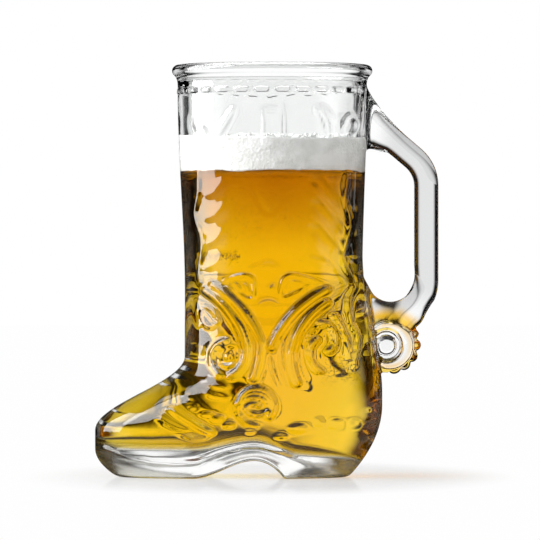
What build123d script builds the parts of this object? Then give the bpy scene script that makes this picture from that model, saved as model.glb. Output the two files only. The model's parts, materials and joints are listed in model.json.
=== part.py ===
from build123d import *
from math import atan2, cos, degrees, pi, radians, sin, sqrt
import os

os.makedirs("parts", exist_ok=True)

# Glass beer mug in the shape of a western boot, full of beer with a head of foam.
# Millimetres. +Z is up, the toe points to -X and the handle is at +X.
# Reaches and half widths are measured from the axis of the round shaft.

# Rim and shaft
rim_height = 160.0
rim_radius = 39.0
rim_bead_radius = 2.3
bead_start_angle = -50.0
lip_height = 10.0
neck_radius = 36.8
waist_front = 34.0
waist_back = 35.0
waist_side = 34.5
flare_start_height = 70.0

# Foot
toe_reach = 68.5
toe_shoulder_height = 18.0
instep_top_height = 47.0
heel_reach = 42.8
heel_bulge_height = 32.0
heel_fade_height = 88.0
foot_half_width = 31.0
ankle_height = 60.0
ball_offset = 10.0
foot_fullness = 0.8

# Edges of the sole and of the heel, which draw in towards the floor
toe_spring = 8.5
toe_spring_height = 11.0
heel_undercut = 13.0
heel_undercut_height = 28.0
side_bevel = 2.5
side_bevel_height = 6.0

# Arch between the sole and the heel
arch_front = -30.0
arch_peak = -7.0
arch_back = 4.7
arch_height = 7.0
arch_entry_angle = 3.0
heel_breast_angle = -53.0

# Main ribs of the scrollwork on both sides, along arcs through three points of the side view
rib_relief = 1.3
band_width = 3.4
band_arcs = (
    ((-22.6, 74.6), (-11.1, 64.1), (-4.6, 52.5)),
    ((-4.6, 52.5), (-5.0, 46.0), (-7.0, 39.0)),
    ((-25.5, 72.5), (-14.5, 61.8), (-10.0, 51.0)),
    ((-10.0, 51.0), (-10.8, 44.5), (-15.0, 40.0)),
    ((20.6, 72.6), (8.0, 63.3), (-0.2, 51.0)),
    ((20.4, 67.6), (11.7, 59.4), (7.4, 49.0)),
    ((7.4, 49.0), (7.7, 43.0), (9.5, 37.0)),
)
scroll_width = 2.2
scroll_arcs = (
    ((-18.1, 53.2), (-23.3, 46.4), (-20.2, 40.0)),
    ((18.5, 60.0), (24.2, 54.2), (21.8, 49.0)),
    ((16.5, 53.5), (14.3, 47.5), (18.5, 41.5)),
    ((24.0, 62.5), (27.9, 54.5), (29.0, 46.0)),
    ((-12.7, 29.4), (-4.5, 34.6), (-1.0, 24.0)),
    ((-38.5, 27.0), (-31.5, 22.3), (-24.0, 18.0)),
)
feather_width = 5.0
feather_arcs = (
    ((-29.5, 99.5), (-25.0, 105.0), (-19.5, 114.5)),
    ((-29.5, 90.0), (-25.0, 95.5), (-19.5, 105.0)),
    ((-29.5, 80.5), (-25.0, 86.0), (-19.5, 95.5)),
    ((29.5, 99.5), (25.0, 105.0), (17.0, 114.5)),
    ((29.5, 90.0), (25.0, 95.5), (17.0, 105.0)),
    ((29.5, 80.5), (25.0, 86.0), (17.0, 95.5)),
)

# Glass thickness
wall = 4.0
toe_floor = 10.7
arch_floor = 7.0
heel_floor = 8.5
floor_round = 5.0

# Handle: a round bar with its bends in the plane of the toe and the heel
handle_reach = 64.7
bar_diameter = 9.5
grip_top_drop = 40.4
grip_length = 49.6
bend_radius = 14.0
root_drop = 20.7
root_flare_height = 6.0
root_flare_width = 1.5
root_flare_length = 13.0
web_thickness = 7.5
gap_drop = 2.0

# Spur at the foot of the handle, whose lower arm ends this far out and up from its centre
spur_reach = 45.5
spur_drop = 19.0
spur_radius = 8.8
spur_thickness = 8.5
spur_ring_radius = 7.0
spur_ring_width = 1.8
spur_boss_radius = 3.0
spur_boss_shift = 1.2
spur_relief = 0.9
rowel_count = 6
rowel_pitch = 26.0
rowel_arm_gap = 16.0
rowel_radius = 10.6
rowel_taper = 0.35
rowel_bump_radius = 2.1
rowel_thickness = 6.0
arm_foot_out = 1.7
arm_foot_rise = 7.3

# Fill
beer_drop = 41.0
foam_thickness = 13.4

# Stations that the lofts pass through, and the step that slopes are measured over
edge_stations = 3
instep_stations = 6
shaft_stations = 9
root_stations = 5
slope_step = 0.1

# Frame: the origin is on the floor, midway between the toe and the handle
shaft_x = (toe_reach - handle_reach) / 2
neck_height = rim_height - lip_height
beer_level = rim_height - beer_drop
foam_level = beer_level + foam_thickness
side_plane = Plane(origin=(shaft_x, 0, 0), x_dir=(1, 0, 0), z_dir=(0, -1, 0))
shaft_axis = Axis((shaft_x, 0, 0), (0, 0, 1))


def level_plane(height):
    """Level plane at this height, with its origin on the shaft's axis."""
    return Plane(origin=(shaft_x, 0, height))


def direction(angle):
    """Direction in a sketch, in degrees from its x axis."""
    return (cos(radians(angle)), sin(radians(angle)))


def ease(height, low, high):
    """Rise from 0 at the low height to 1 at the high one, level at both ends."""
    share = min(max((height - low) / (high - low), 0), 1)
    return (1 - cos(pi * share)) / 2


def drawn_in(height, depth, top):
    """How far an edge draws in below its top height."""
    return depth * max(0, 1 - height / top) ** 2


def shaft_flare(height):
    """0 up to where the shaft begins to widen, 1 at the neck."""
    return ease(height, flare_start_height, neck_height)


def foot_share(height):
    """1 at the toe's shoulder, 0 at the top of the instep."""
    return 1 - ease(height, toe_shoulder_height, instep_top_height)


def front_reach(height):
    """Reach of the outside towards the toe."""
    reach = waist_front + (neck_radius - waist_front) * shaft_flare(height)
    reach += (toe_reach - waist_front) * foot_share(height)
    return reach - drawn_in(height, toe_spring, toe_spring_height)


def back_reach(height):
    """Reach of the outside towards the heel."""
    reach = waist_back + (neck_radius - waist_back) * shaft_flare(height)
    reach += (heel_reach - waist_back) * (1 - ease(height, heel_bulge_height, heel_fade_height))
    return reach - drawn_in(height, heel_undercut, heel_undercut_height)


def half_width(height):
    """Half width of the outside."""
    width = foot_half_width
    width += (waist_side - foot_half_width) * ease(height, toe_shoulder_height, ankle_height)
    width += (neck_radius - waist_side) * shaft_flare(height)
    return width - drawn_in(height, side_bevel, side_bevel_height)


def wall_across(reach, height):
    """Level thickness of a wall that slopes as the reach does at this height."""
    slope = (reach(height + slope_step) - reach(height - slope_step)) / (2 * slope_step)
    return wall * sqrt(1 + slope**2)


def boot_section(height, front, back, side):
    """Level section of four conic arcs: a circle on the shaft, a full oval in the foot."""
    ball = -ball_offset * foot_share(height)
    fullness = sqrt(0.5) + (foot_fullness - sqrt(0.5)) * foot_share(height)
    with BuildSketch(level_plane(height)) as section:
        with BuildLine():
            for corner_x, corner_y in ((back, side), (-front, side), (-front, -side), (back, -side)):
                Bezier(
                    (corner_x, 0),
                    (corner_x, corner_y),
                    (ball, corner_y),
                    weights=[1, fullness, 1],
                )
        make_face()
    return section.sketch


def outer_section(height):
    """Section of the outside."""
    return boot_section(height, front_reach(height), back_reach(height), half_width(height))


def raised_section(height):
    """Section of the outside with its two sides raised to the top of the ribs."""
    return boot_section(
        height, front_reach(height), back_reach(height), half_width(height) + rib_relief
    )


def inner_section(height):
    """Section of the hollow, rounded in towards its floor."""
    rise = min(height - heel_floor, floor_round)
    inset = floor_round - sqrt(floor_round**2 - (floor_round - rise) ** 2)
    return boot_section(
        height,
        front_reach(height) - wall_across(front_reach, height) - inset,
        back_reach(height) - wall_across(back_reach, height) - inset,
        half_width(height) - wall - inset,
    )


def spaced(low, high, count):
    """Heights above the low one, evenly spaced, up to the high one."""
    return [low + (high - low) * step / count for step in range(1, count + 1)]


upper_heights = [toe_shoulder_height]
upper_heights += spaced(toe_shoulder_height, instep_top_height, instep_stations)
upper_heights += spaced(instep_top_height, neck_height, shaft_stations)

# Solid boot without its hollow
with BuildPart() as boot_blank:
    edge_heights = [0, *spaced(0, toe_spring_height, edge_stations)]
    loft([outer_section(height) for height in edge_heights + upper_heights])
    with BuildSketch(side_plane):
        with BuildLine():
            Spline(
                (arch_front, 0),
                (arch_peak, arch_height),
                (arch_back, 0),
                tangents=(direction(arch_entry_angle), (1, 0), direction(heel_breast_angle)),
            )
            Line((arch_back, 0), (arch_front, 0))
        make_face()
    extrude(amount=2 * foot_half_width, both=True, mode=Mode.SUBTRACT)

# Boot with both sides raised to the top of the ribs
with BuildPart() as raised_boot:
    loft([raised_section(height) for height in [toe_spring_height, *upper_heights]])

# Ribs along the arcs, as deep as the boot
with BuildPart() as ribs:
    with BuildSketch(side_plane):
        for arcs, width in (
            (band_arcs, band_width),
            (scroll_arcs, scroll_width),
            (feather_arcs, feather_width),
        ):
            for start, middle, end in arcs:
                SlotArc(Edge.make_three_point_arc(start, middle, end), width)
    extrude(amount=2 * foot_half_width, both=True)
    add(raised_boot.part, mode=Mode.INTERSECT)

# Hollow, with a floor that rises over the arch
with BuildPart() as hollow:
    floor_heights = [heel_floor, *spaced(heel_floor, heel_floor + floor_round, edge_stations)]
    loft([inner_section(height) for height in floor_heights + upper_heights])
    with BuildSketch(side_plane):
        with BuildLine():
            Line((-toe_reach, 0), (-toe_reach, toe_floor))
            Line((-toe_reach, toe_floor), (arch_front, toe_floor))
            Spline(
                (arch_front, toe_floor),
                (arch_peak, arch_height + arch_floor),
                (arch_back + wall, heel_floor),
                tangents=((1, 0), (1, 0), (1, 0)),
            )
            Line((arch_back + wall, heel_floor), (arch_back + wall, 0))
            Line((arch_back + wall, 0), (-toe_reach, 0))
        make_face()
    extrude(amount=2 * foot_half_width, both=True, mode=Mode.SUBTRACT)

# Rim with a rounded bead that stands out from the neck
bead_centre = (rim_radius - rim_bead_radius, rim_height - rim_bead_radius)
bead_outward = direction(bead_start_angle)
bead_start = (
    bead_centre[0] + rim_bead_radius * bead_outward[0],
    bead_centre[1] + rim_bead_radius * bead_outward[1],
)
bead_end = (bead_centre[0] - rim_bead_radius, bead_centre[1])
with BuildPart() as rim:
    with BuildSketch(side_plane):
        with BuildLine():
            Line((neck_radius - wall, neck_height), (neck_radius, neck_height))
            Spline(
                (neck_radius, neck_height),
                bead_start,
                tangents=((0, 1), direction(bead_start_angle + 90)),
            )
            CenterArc(bead_centre, rim_bead_radius, bead_start_angle, 180 - bead_start_angle)
            Spline(bead_end, (neck_radius - wall, neck_height), tangents=((0, -1), (0, -1)))
        make_face()
    revolve(axis=shaft_axis)

# Space inside the rim, open at the top
with BuildPart() as mouth:
    with BuildSketch(side_plane):
        with BuildLine():
            Spline(bead_end, (neck_radius - wall, neck_height), tangents=((0, -1), (0, -1)))
            Polyline(
                (neck_radius - wall, neck_height),
                (0, neck_height),
                (0, rim_height),
                (bead_end[0], rim_height),
                bead_end,
            )
        make_face()
    revolve(axis=shaft_axis)

# Boot glass
with BuildPart() as boot_body:
    add(boot_blank.part)
    add(ribs.part)
    add(hollow.part, mode=Mode.SUBTRACT)
    add(rim.part)
boot_body.part.label = "boot_body"
export_step(boot_body.part, "parts/boot_body.step")

# Bends of the handle, and the spur's place
bar_radius = bar_diameter / 2
grip_x = handle_reach - bar_radius
grip_top = (grip_x, rim_height - grip_top_drop)
grip_bottom = (grip_x, grip_top[1] - grip_length)
spur_height = grip_bottom[1] - spur_drop
arm_foot = (spur_reach + arm_foot_out, spur_height + arm_foot_rise)
root_height = rim_height - root_drop
root_depth = wall / 2
arm_slope = (grip_top[1] - root_height) / (grip_x - neck_radius)
gap_wall = back_reach(grip_bottom[1])
gap_radius = (grip_x - bar_radius - gap_wall) / 2
gap_middle = (gap_wall + gap_radius, grip_bottom[1] - gap_drop + gap_radius)
arm_angle = degrees(atan2(grip_bottom[1] - arm_foot[1], grip_x - arm_foot[0]))
rowel_start = arm_angle - rowel_arm_gap
spur_plane = Plane(
    origin=side_plane.from_local_coords((spur_reach, spur_height, 0)),
    x_dir=(1, 0, 0),
    z_dir=(0, -1, 0),
)

# Spur: a disc with a ring and a boss on both faces, and a rowel of round bumps below the handle
with BuildPart() as spur:
    with BuildSketch(spur_plane):
        Circle(spur_radius)
    extrude(amount=spur_thickness / 2, both=True)
    with BuildSketch(spur_plane):
        with Locations((-spur_boss_shift, 0)):
            Circle(spur_ring_radius)
            Circle(spur_ring_radius - spur_ring_width, mode=Mode.SUBTRACT)
            Circle(spur_boss_radius)
    extrude(amount=spur_thickness / 2 + spur_relief, both=True)
    with BuildSketch(spur_plane):
        for bump in range(rowel_count):
            bump_way = direction(rowel_start - bump * rowel_pitch)
            bump_out = rowel_radius - bump * rowel_taper
            with Locations((bump_out * bump_way[0], bump_out * bump_way[1])):
                Circle(rowel_bump_radius)
    extrude(amount=rowel_thickness / 2, both=True)
    add(boot_blank.part, mode=Mode.SUBTRACT)
spur.part.label = "spur"
export_step(spur.part, "parts/spur.step")


def arm_point(distance):
    """Point on the upper arm's axis, this far out from the wall."""
    return (neck_radius + distance, root_height + distance * arm_slope)


def root_section(distance):
    """Upright section of the upper arm's flared root, this far out from the wall."""
    section_plane = Plane(
        origin=side_plane.from_local_coords((*arm_point(distance), 0)),
        x_dir=(0, 1, 0),
        z_dir=(1, 0, 0),
    )
    upright_radius = bar_radius * sqrt(1 + arm_slope**2)
    with BuildSketch(section_plane) as section:
        Ellipse(
            bar_radius + drawn_in(distance, root_flare_width, root_flare_length),
            upright_radius + drawn_in(distance, root_flare_height, root_flare_length),
        )
    return section.sketch


# Handle, from its flared root under the rim down to the spur
with BuildPart() as handle:
    with BuildLine(side_plane) as bar_path:
        FilletPolyline(arm_point(-root_depth), grip_top, grip_bottom, arm_foot, radius=bend_radius)
    with BuildSketch(Plane(origin=bar_path.line @ 0, z_dir=bar_path.line % 0)):
        Circle(bar_radius)
    sweep()
    root_distances = [-root_depth, *spaced(-root_depth, root_flare_length, root_stations)]
    loft([root_section(distance) for distance in root_distances])
    with BuildSketch(side_plane):
        with BuildLine():
            Polyline(
                (waist_back - wall, spur_height),
                (waist_back - wall, gap_middle[1]),
                (grip_x, gap_middle[1]),
                grip_bottom,
                arm_foot,
                (spur_reach, spur_height),
                close=True,
            )
        make_face()
        with Locations(gap_middle):
            Circle(gap_radius, mode=Mode.SUBTRACT)
    extrude(amount=web_thickness / 2, both=True)
    add(boot_blank.part, mode=Mode.SUBTRACT)
    add(rim.part, mode=Mode.SUBTRACT)
    add(mouth.part, mode=Mode.SUBTRACT)
    add(spur.part, mode=Mode.SUBTRACT)
handle.part.label = "handle"
export_step(handle.part, "parts/handle.step")

# Beer up to its level
with BuildPart() as beer:
    add(hollow.part)
    split(bisect_by=Plane.XY.offset(beer_level), keep=Keep.BOTTOM)
beer.part.label = "beer"
export_step(beer.part, "parts/beer.step")

# Head of foam on the beer
with BuildPart() as foam_head:
    add(hollow.part)
    split(bisect_by=Plane.XY.offset(beer_level), keep=Keep.TOP)
    split(bisect_by=Plane.XY.offset(foam_level), keep=Keep.BOTTOM)
foam_head.part.label = "foam_head"
export_step(foam_head.part, "parts/foam_head.step")
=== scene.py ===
"""Glass beer boot: clear moulded glass with scrollwork, full of beer under a head of foam."""

import cmath
import json
import logging
import math
from abc import ABC, abstractmethod
from dataclasses import dataclass, field
from enum import Enum
from typing import Any, Callable, ClassVar, Sequence

import bpy
import numpy as np
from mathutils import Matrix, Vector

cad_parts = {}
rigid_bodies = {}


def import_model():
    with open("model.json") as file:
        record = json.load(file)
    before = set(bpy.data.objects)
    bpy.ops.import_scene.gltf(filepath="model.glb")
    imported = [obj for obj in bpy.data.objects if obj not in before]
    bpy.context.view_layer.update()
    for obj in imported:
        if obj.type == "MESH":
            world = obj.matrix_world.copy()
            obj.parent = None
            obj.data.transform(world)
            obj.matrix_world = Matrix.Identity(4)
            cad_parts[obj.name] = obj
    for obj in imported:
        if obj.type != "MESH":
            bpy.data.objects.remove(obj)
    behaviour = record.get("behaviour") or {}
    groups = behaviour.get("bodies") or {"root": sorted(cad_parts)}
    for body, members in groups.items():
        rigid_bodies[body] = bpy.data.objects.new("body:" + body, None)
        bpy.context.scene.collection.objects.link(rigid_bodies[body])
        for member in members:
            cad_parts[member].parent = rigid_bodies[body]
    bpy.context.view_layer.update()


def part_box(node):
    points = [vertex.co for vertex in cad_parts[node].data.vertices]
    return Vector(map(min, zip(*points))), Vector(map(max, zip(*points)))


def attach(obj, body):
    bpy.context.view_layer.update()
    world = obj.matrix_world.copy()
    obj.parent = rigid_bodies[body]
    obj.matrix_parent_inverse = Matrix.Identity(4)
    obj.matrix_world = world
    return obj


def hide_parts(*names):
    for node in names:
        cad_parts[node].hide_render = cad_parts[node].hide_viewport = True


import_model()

# Forms are worked out in millimetres and laid into meshes in metres.
MM = 0.001
# Points of a mesh that are closer than this many metres become one.
WELD = 2e-6
BODY = "root"

log = logging.getLogger("boot_glass")

Point = tuple[float, float]
Place = tuple[float, float, float]
Span = tuple[float, float]
Colour = tuple[float, float, float, float]

AXIS: Point = (0.0, 0.0)
BLACK: Colour = (0, 0, 0, 1)
WHITE: Colour = (1, 1, 1, 1)


class Slot(Enum):
    """Material slots of the record."""

    GLASS = "clear_glass"
    BEER = "beer"
    FOAM = "foam"


def ease(value: np.ndarray, low: float, high: float) -> np.ndarray:
    """Rise from 0 at the low value to 1 at the high one, level at both ends."""
    share = np.clip((value - low) / (high - low), 0, 1)
    return (1 - np.cos(np.pi * share)) / 2


def drawn_in(distance: np.ndarray, depth: float, top: float) -> np.ndarray:
    """How far an edge draws in below its top."""
    return depth * np.clip(1 - distance / top, 0, None) ** 2


def swept(start: Any, leave: Any, end: Any, arrive: Any, share: np.ndarray) -> np.ndarray:
    """Cubic curve between two values or points.

    Args:
        start: Where the curve begins.
        leave: Slope there.
        end: Where the curve ends.
        arrive: Slope there.
        share: How far along the curve each point lies, from 0 to 1.

    Returns:
        The points.
    """
    square, cube = share**2, share**3
    onward = 3 * square - 2 * cube
    from_start = (1 - onward) * start + (cube - 2 * square + share) * leave
    return from_start + onward * end + (cube - square) * arrive


def unit(vectors: np.ndarray) -> np.ndarray:
    """Vectors of length 1 with the same directions."""
    return vectors / np.linalg.norm(vectors, axis=-1, keepdims=True)


def full_turn(columns: int) -> np.ndarray:
    """Even angles round a ring."""
    return np.linspace(0, 2 * np.pi, columns, endpoint=False)


def spokes(middle: Any, ring: np.ndarray, shares: np.ndarray) -> np.ndarray:
    """Rows between a middle, where the share is 0, and a ring, where it is 1."""
    return middle + (ring - middle) * shares[:, None, None]


def end_capped(tube: np.ndarray) -> np.ndarray:
    """Rows of a tube with both ends drawn together."""
    ends = [np.broadcast_to(row.mean(axis=0), (1, *row.shape)) for row in (tube[0], tube[-1])]
    return np.concatenate([ends[0], tube, ends[1]])


class Skin:
    """Grids laid over forms, and the operators that finish them."""

    @staticmethod
    def deselect() -> None:
        """Go back to object mode with nothing selected."""
        if bpy.context.object and bpy.context.object.mode != "OBJECT":
            bpy.ops.object.mode_set(mode="OBJECT")
        bpy.ops.object.select_all(action="DESELECT")

    @staticmethod
    def activate(piece: bpy.types.Object) -> None:
        """Make a piece the only selected one.

        Args:
            piece: Piece to select.
        """
        Skin.deselect()
        piece.select_set(True)
        bpy.context.view_layer.objects.active = piece

    @staticmethod
    def lay(name: str, places: np.ndarray) -> bpy.types.Object:
        """Lay a primitive grid over a closed form and weld its seam and poles.

        Args:
            name: Name of the new object.
            places: Array of rows, columns and coordinates in millimetres. The last column meets the first.

        Returns:
            The smooth, closed object with its faces outward.
        """
        rows, columns = places.shape[:2]
        Skin.deselect()
        bpy.ops.mesh.primitive_grid_add(x_subdivisions=columns, y_subdivisions=rows - 1, size=2)
        piece = bpy.context.active_object
        piece.name = name
        piece.data.name = name
        flat = np.empty(3 * len(piece.data.vertices))
        piece.data.vertices.foreach_get("co", flat)
        across, along = flat.reshape(-1, 3)[:, :2].T
        column = np.rint((across + 1) / 2 * columns).astype(int) % columns
        row = np.rint((along + 1) / 2 * (rows - 1)).astype(int)
        piece.data.vertices.foreach_set("co", (places[row, column] * MM).ravel())
        piece.data.update()
        bpy.ops.object.mode_set(mode="EDIT")
        bpy.ops.mesh.select_all(action="SELECT")
        bpy.ops.mesh.remove_doubles(threshold=WELD)
        bpy.ops.mesh.normals_make_consistent(inside=False)
        bpy.ops.object.mode_set(mode="OBJECT")
        bpy.ops.object.shade_smooth()
        return piece

    @staticmethod
    def unite(piece: bpy.types.Object, others: Sequence[bpy.types.Object]) -> None:
        """Fuse other closed pieces into one, and mark where each face came from.

        Args:
            piece: Closed piece that takes the others in.
            others: Closed pieces that overlap it, which are used up.
        """
        for number, other in enumerate(others, start=1):
            other.data.polygons.foreach_set("material_index", [number] * len(other.data.polygons))
            Skin.activate(piece)
            joint = piece.modifiers.new("unite", "BOOLEAN")
            joint.operation = "UNION"
            joint.solver = "MANIFOLD"
            joint.material_mode = "INDEX"
            joint.object = other
            bpy.ops.object.modifier_apply(modifier=joint.name)
            bpy.data.objects.remove(other)

    @staticmethod
    def soften_seams(piece: bpy.types.Object, rings: int, passes: int) -> None:
        """Round the seams between united pieces, as fused glass is.

        Args:
            piece: United piece whose faces still say where they came from.
            rings: Rings of faces beside a seam that give way.
            passes: Smoothing passes.
        """
        mesh = piece.data
        origin = np.empty(len(mesh.polygons), dtype=np.int32)
        mesh.polygons.foreach_get("material_index", origin)
        least = np.full(len(mesh.vertices), origin.max())
        most = np.zeros(len(mesh.vertices), dtype=np.int32)
        for polygon in mesh.polygons:
            corners = list(polygon.vertices)
            least[corners] = np.minimum(least[corners], origin[polygon.index])
            most[corners] = np.maximum(most[corners], origin[polygon.index])
        Skin.activate(piece)
        bpy.ops.object.mode_set(mode="EDIT")
        bpy.ops.mesh.select_mode(type="VERT")
        bpy.ops.mesh.select_all(action="DESELECT")
        bpy.ops.object.mode_set(mode="OBJECT")
        mesh.vertices.foreach_set("select", least != most)
        bpy.ops.object.mode_set(mode="EDIT")
        for _ in range(rings):
            bpy.ops.mesh.select_more()
        bpy.ops.mesh.vertices_smooth(factor=0.5, repeat=passes)
        bpy.ops.object.mode_set(mode="OBJECT")
        mesh.polygons.foreach_set("material_index", [0] * len(mesh.polygons))
        bpy.ops.object.shade_smooth()

    @staticmethod
    def copies(
        name: str,
        model: bpy.types.Object,
        centres: np.ndarray,
        sizes: np.ndarray,
    ) -> bpy.types.Object:
        """Repeat a small model in one mesh.

        Args:
            name: Name of the new object.
            model: Model of unit size at the origin, which is used up.
            centres: Place of each copy, in millimetres.
            sizes: Size of each copy, in millimetres.

        Returns:
            The object that holds every copy.
        """
        corners = np.array([vertex.co for vertex in model.data.vertices])
        faces = [list(polygon.vertices) for polygon in model.data.polygons]
        places = centres[:, None, :] + corners[None] * sizes[:, None, None]
        steps = np.arange(len(centres)) * len(corners)
        mesh = bpy.data.meshes.new(name)
        mesh.from_pydata(
            (places.reshape(-1, 3) * MM).tolist(),
            [],
            [[corner + int(step) for corner in face] for step in steps for face in faces],
        )
        bpy.data.objects.remove(model)
        piece = bpy.data.objects.new(name, mesh)
        bpy.context.scene.collection.objects.link(piece)
        Skin.activate(piece)
        bpy.ops.object.shade_smooth()
        return piece


@dataclass(frozen=True)
class Wire:
    """A node's output, on which plain arithmetic adds Math nodes."""

    sheet: "NodeSheet"
    node: bpy.types.Node
    output: str | int = 0

    @property
    def socket(self) -> bpy.types.NodeSocket:
        """The output's socket."""
        return self.node.outputs[self.output]

    def sibling(self, output: str) -> "Wire":
        """Another output of the same node."""
        return Wire(self.sheet, self.node, output)

    def math_node(self, operation: str, *values: Any) -> "Wire":
        """Add one Math node."""
        return self.sheet.add("ShaderNodeMath", {"operation": operation}, dict(enumerate(values)))

    def __add__(self, other: Any) -> "Wire":
        """Sum."""
        return self.math_node("ADD", self, other)

    def __radd__(self, other: Any) -> "Wire":
        """Sum, the other way round."""
        return self.math_node("ADD", other, self)

    def __sub__(self, other: Any) -> "Wire":
        """Difference."""
        return self.math_node("SUBTRACT", self, other)

    def __rsub__(self, other: Any) -> "Wire":
        """Difference, the other way round."""
        return self.math_node("SUBTRACT", other, self)

    def __mul__(self, other: Any) -> "Wire":
        """Product."""
        return self.math_node("MULTIPLY", self, other)

    def __rmul__(self, other: Any) -> "Wire":
        """Product, the other way round."""
        return self.math_node("MULTIPLY", other, self)

    def __truediv__(self, other: Any) -> "Wire":
        """Quotient."""
        return self.math_node("DIVIDE", self, other)

    def __rtruediv__(self, other: Any) -> "Wire":
        """Quotient, the other way round."""
        return self.math_node("DIVIDE", other, self)

    def larger(self, other: Any) -> "Wire":
        """The larger of two values."""
        return self.math_node("MAXIMUM", self, other)

    def size(self) -> "Wire":
        """Value without its sign."""
        return self.math_node("ABSOLUTE", self)

    def step(self, low: float, high: float) -> "Wire":
        """Smooth rise from 0 at the low value to 1 at the high one."""
        sockets = {"Value": self, "From Min": low, "From Max": high}
        return self.sheet.add("ShaderNodeMapRange", {"interpolation_type": "SMOOTHSTEP"}, sockets)


class NodeSheet:
    """Node tree of a material or of the world."""

    def __init__(self, owner: bpy.types.Material | bpy.types.World) -> None:
        """Clear the owner's tree.

        Args:
            owner: Material or world that the nodes belong to.
        """
        owner.use_nodes = True
        self.owner = owner
        self.tree = owner.node_tree
        self.tree.nodes.clear()

    def add(
        self,
        kind: str,
        settings: dict[str, Any] | None = None,
        sockets: dict[str | int, Any] | None = None,
        output: str | int = 0,
    ) -> Wire:
        """Add a node.

        Args:
            kind: Type of the node.
            settings: The node's own settings, which are set first.
            sockets: Value or wire of each input, by name or number.
            output: Output that the returned wire holds.

        Returns:
            A wire on the node's output.
        """
        node = self.tree.nodes.new(kind)
        for name, value in (settings or {}).items():
            setattr(node, name, value)
        for name, value in (sockets or {}).items():
            if isinstance(value, Wire):
                self.tree.links.new(value.socket, node.inputs[name])
            else:
                node.inputs[name].default_value = value
        return Wire(self, node, output)

    def place(self) -> Wire:
        """Place in the piece's own space, in metres."""
        return self.add("ShaderNodeTexCoord", output="Object")

    def apart(self, vector: Wire) -> tuple[Wire, Wire, Wire]:
        """The three parts of a vector."""
        x = self.add("ShaderNodeSeparateXYZ", None, {0: vector}, output="X")
        return x, x.sibling("Y"), x.sibling("Z")

    def measure(self, operation: str, *vectors: Any) -> Wire:
        """Number that a Vector Math node works out."""
        return self.add("ShaderNodeVectorMath", {"operation": operation}, dict(enumerate(vectors)), "Value")

    def ray(self, kind: str) -> Wire:
        """1 on rays of one kind, 0 on others."""
        return self.add("ShaderNodeLightPath", output=kind)

    def mix(self, share: Any, first: Any, second: Any) -> Wire:
        """Mix two colours by a share."""
        return self.add("ShaderNodeMix", {"data_type": "RGBA"}, {0: share, 6: first, 7: second}, output=2)

    def blend(self, share: Any, first: Wire, second: Wire) -> Wire:
        """Mix two shaders by a share."""
        return self.add("ShaderNodeMixShader", None, {0: share, 1: first, 2: second})

    def noise(self, waves: float, detail: float = 2.0) -> Wire:
        """Noise in the piece's own space, with this many waves per metre."""
        sockets = {"Vector": self.place(), "Scale": waves, "Detail": detail}
        return self.add("ShaderNodeTexNoise", None, sockets)

    def bump(self, height: Wire, strength: float, distance: float) -> Wire:
        """Normal bent by a height, which is scaled by a distance in metres."""
        sockets = {"Height": height, "Strength": strength, "Distance": distance}
        return self.add("ShaderNodeBump", None, sockets, output="Normal")

    def surface(self, sockets: dict[str | int, Any]) -> Wire:
        """Principled shader."""
        return self.add("ShaderNodeBsdfPrincipled", None, sockets)

    def letting_light_by(self, surface: Wire, tint: Colour) -> Wire:
        """Surface that lets a lamp's light by, tinted, to what is behind it."""
        opening = self.add("ShaderNodeBsdfTransparent", None, {"Color": tint})
        return self.blend(self.ray("Is Shadow Ray"), surface, opening)

    def finish(self, surface: Wire, volume: Wire | None = None) -> None:
        """Link the surface, and the volume where there is one, to the output.

        Args:
            surface: Shader of the surface.
            volume: Shader of what is inside it.
        """
        on_world = isinstance(self.owner, bpy.types.World)
        sockets = {"Surface": surface} | ({"Volume": volume} if volume else {})
        self.add("ShaderNodeOutputWorld" if on_world else "ShaderNodeOutputMaterial", None, sockets)


@dataclass(frozen=True)
class Finish(ABC):
    """Procedural material, whose nodes each finish draws, with places in metres."""

    name: ClassVar[str]

    def make(self) -> bpy.types.Material:
        """Make the material.

        Returns:
            The material.
        """
        material = bpy.data.materials.new(self.name)
        self.draw(NodeSheet(material))
        return material

    @abstractmethod
    def draw(self, sheet: NodeSheet) -> None:
        """Draw the nodes."""


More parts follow.
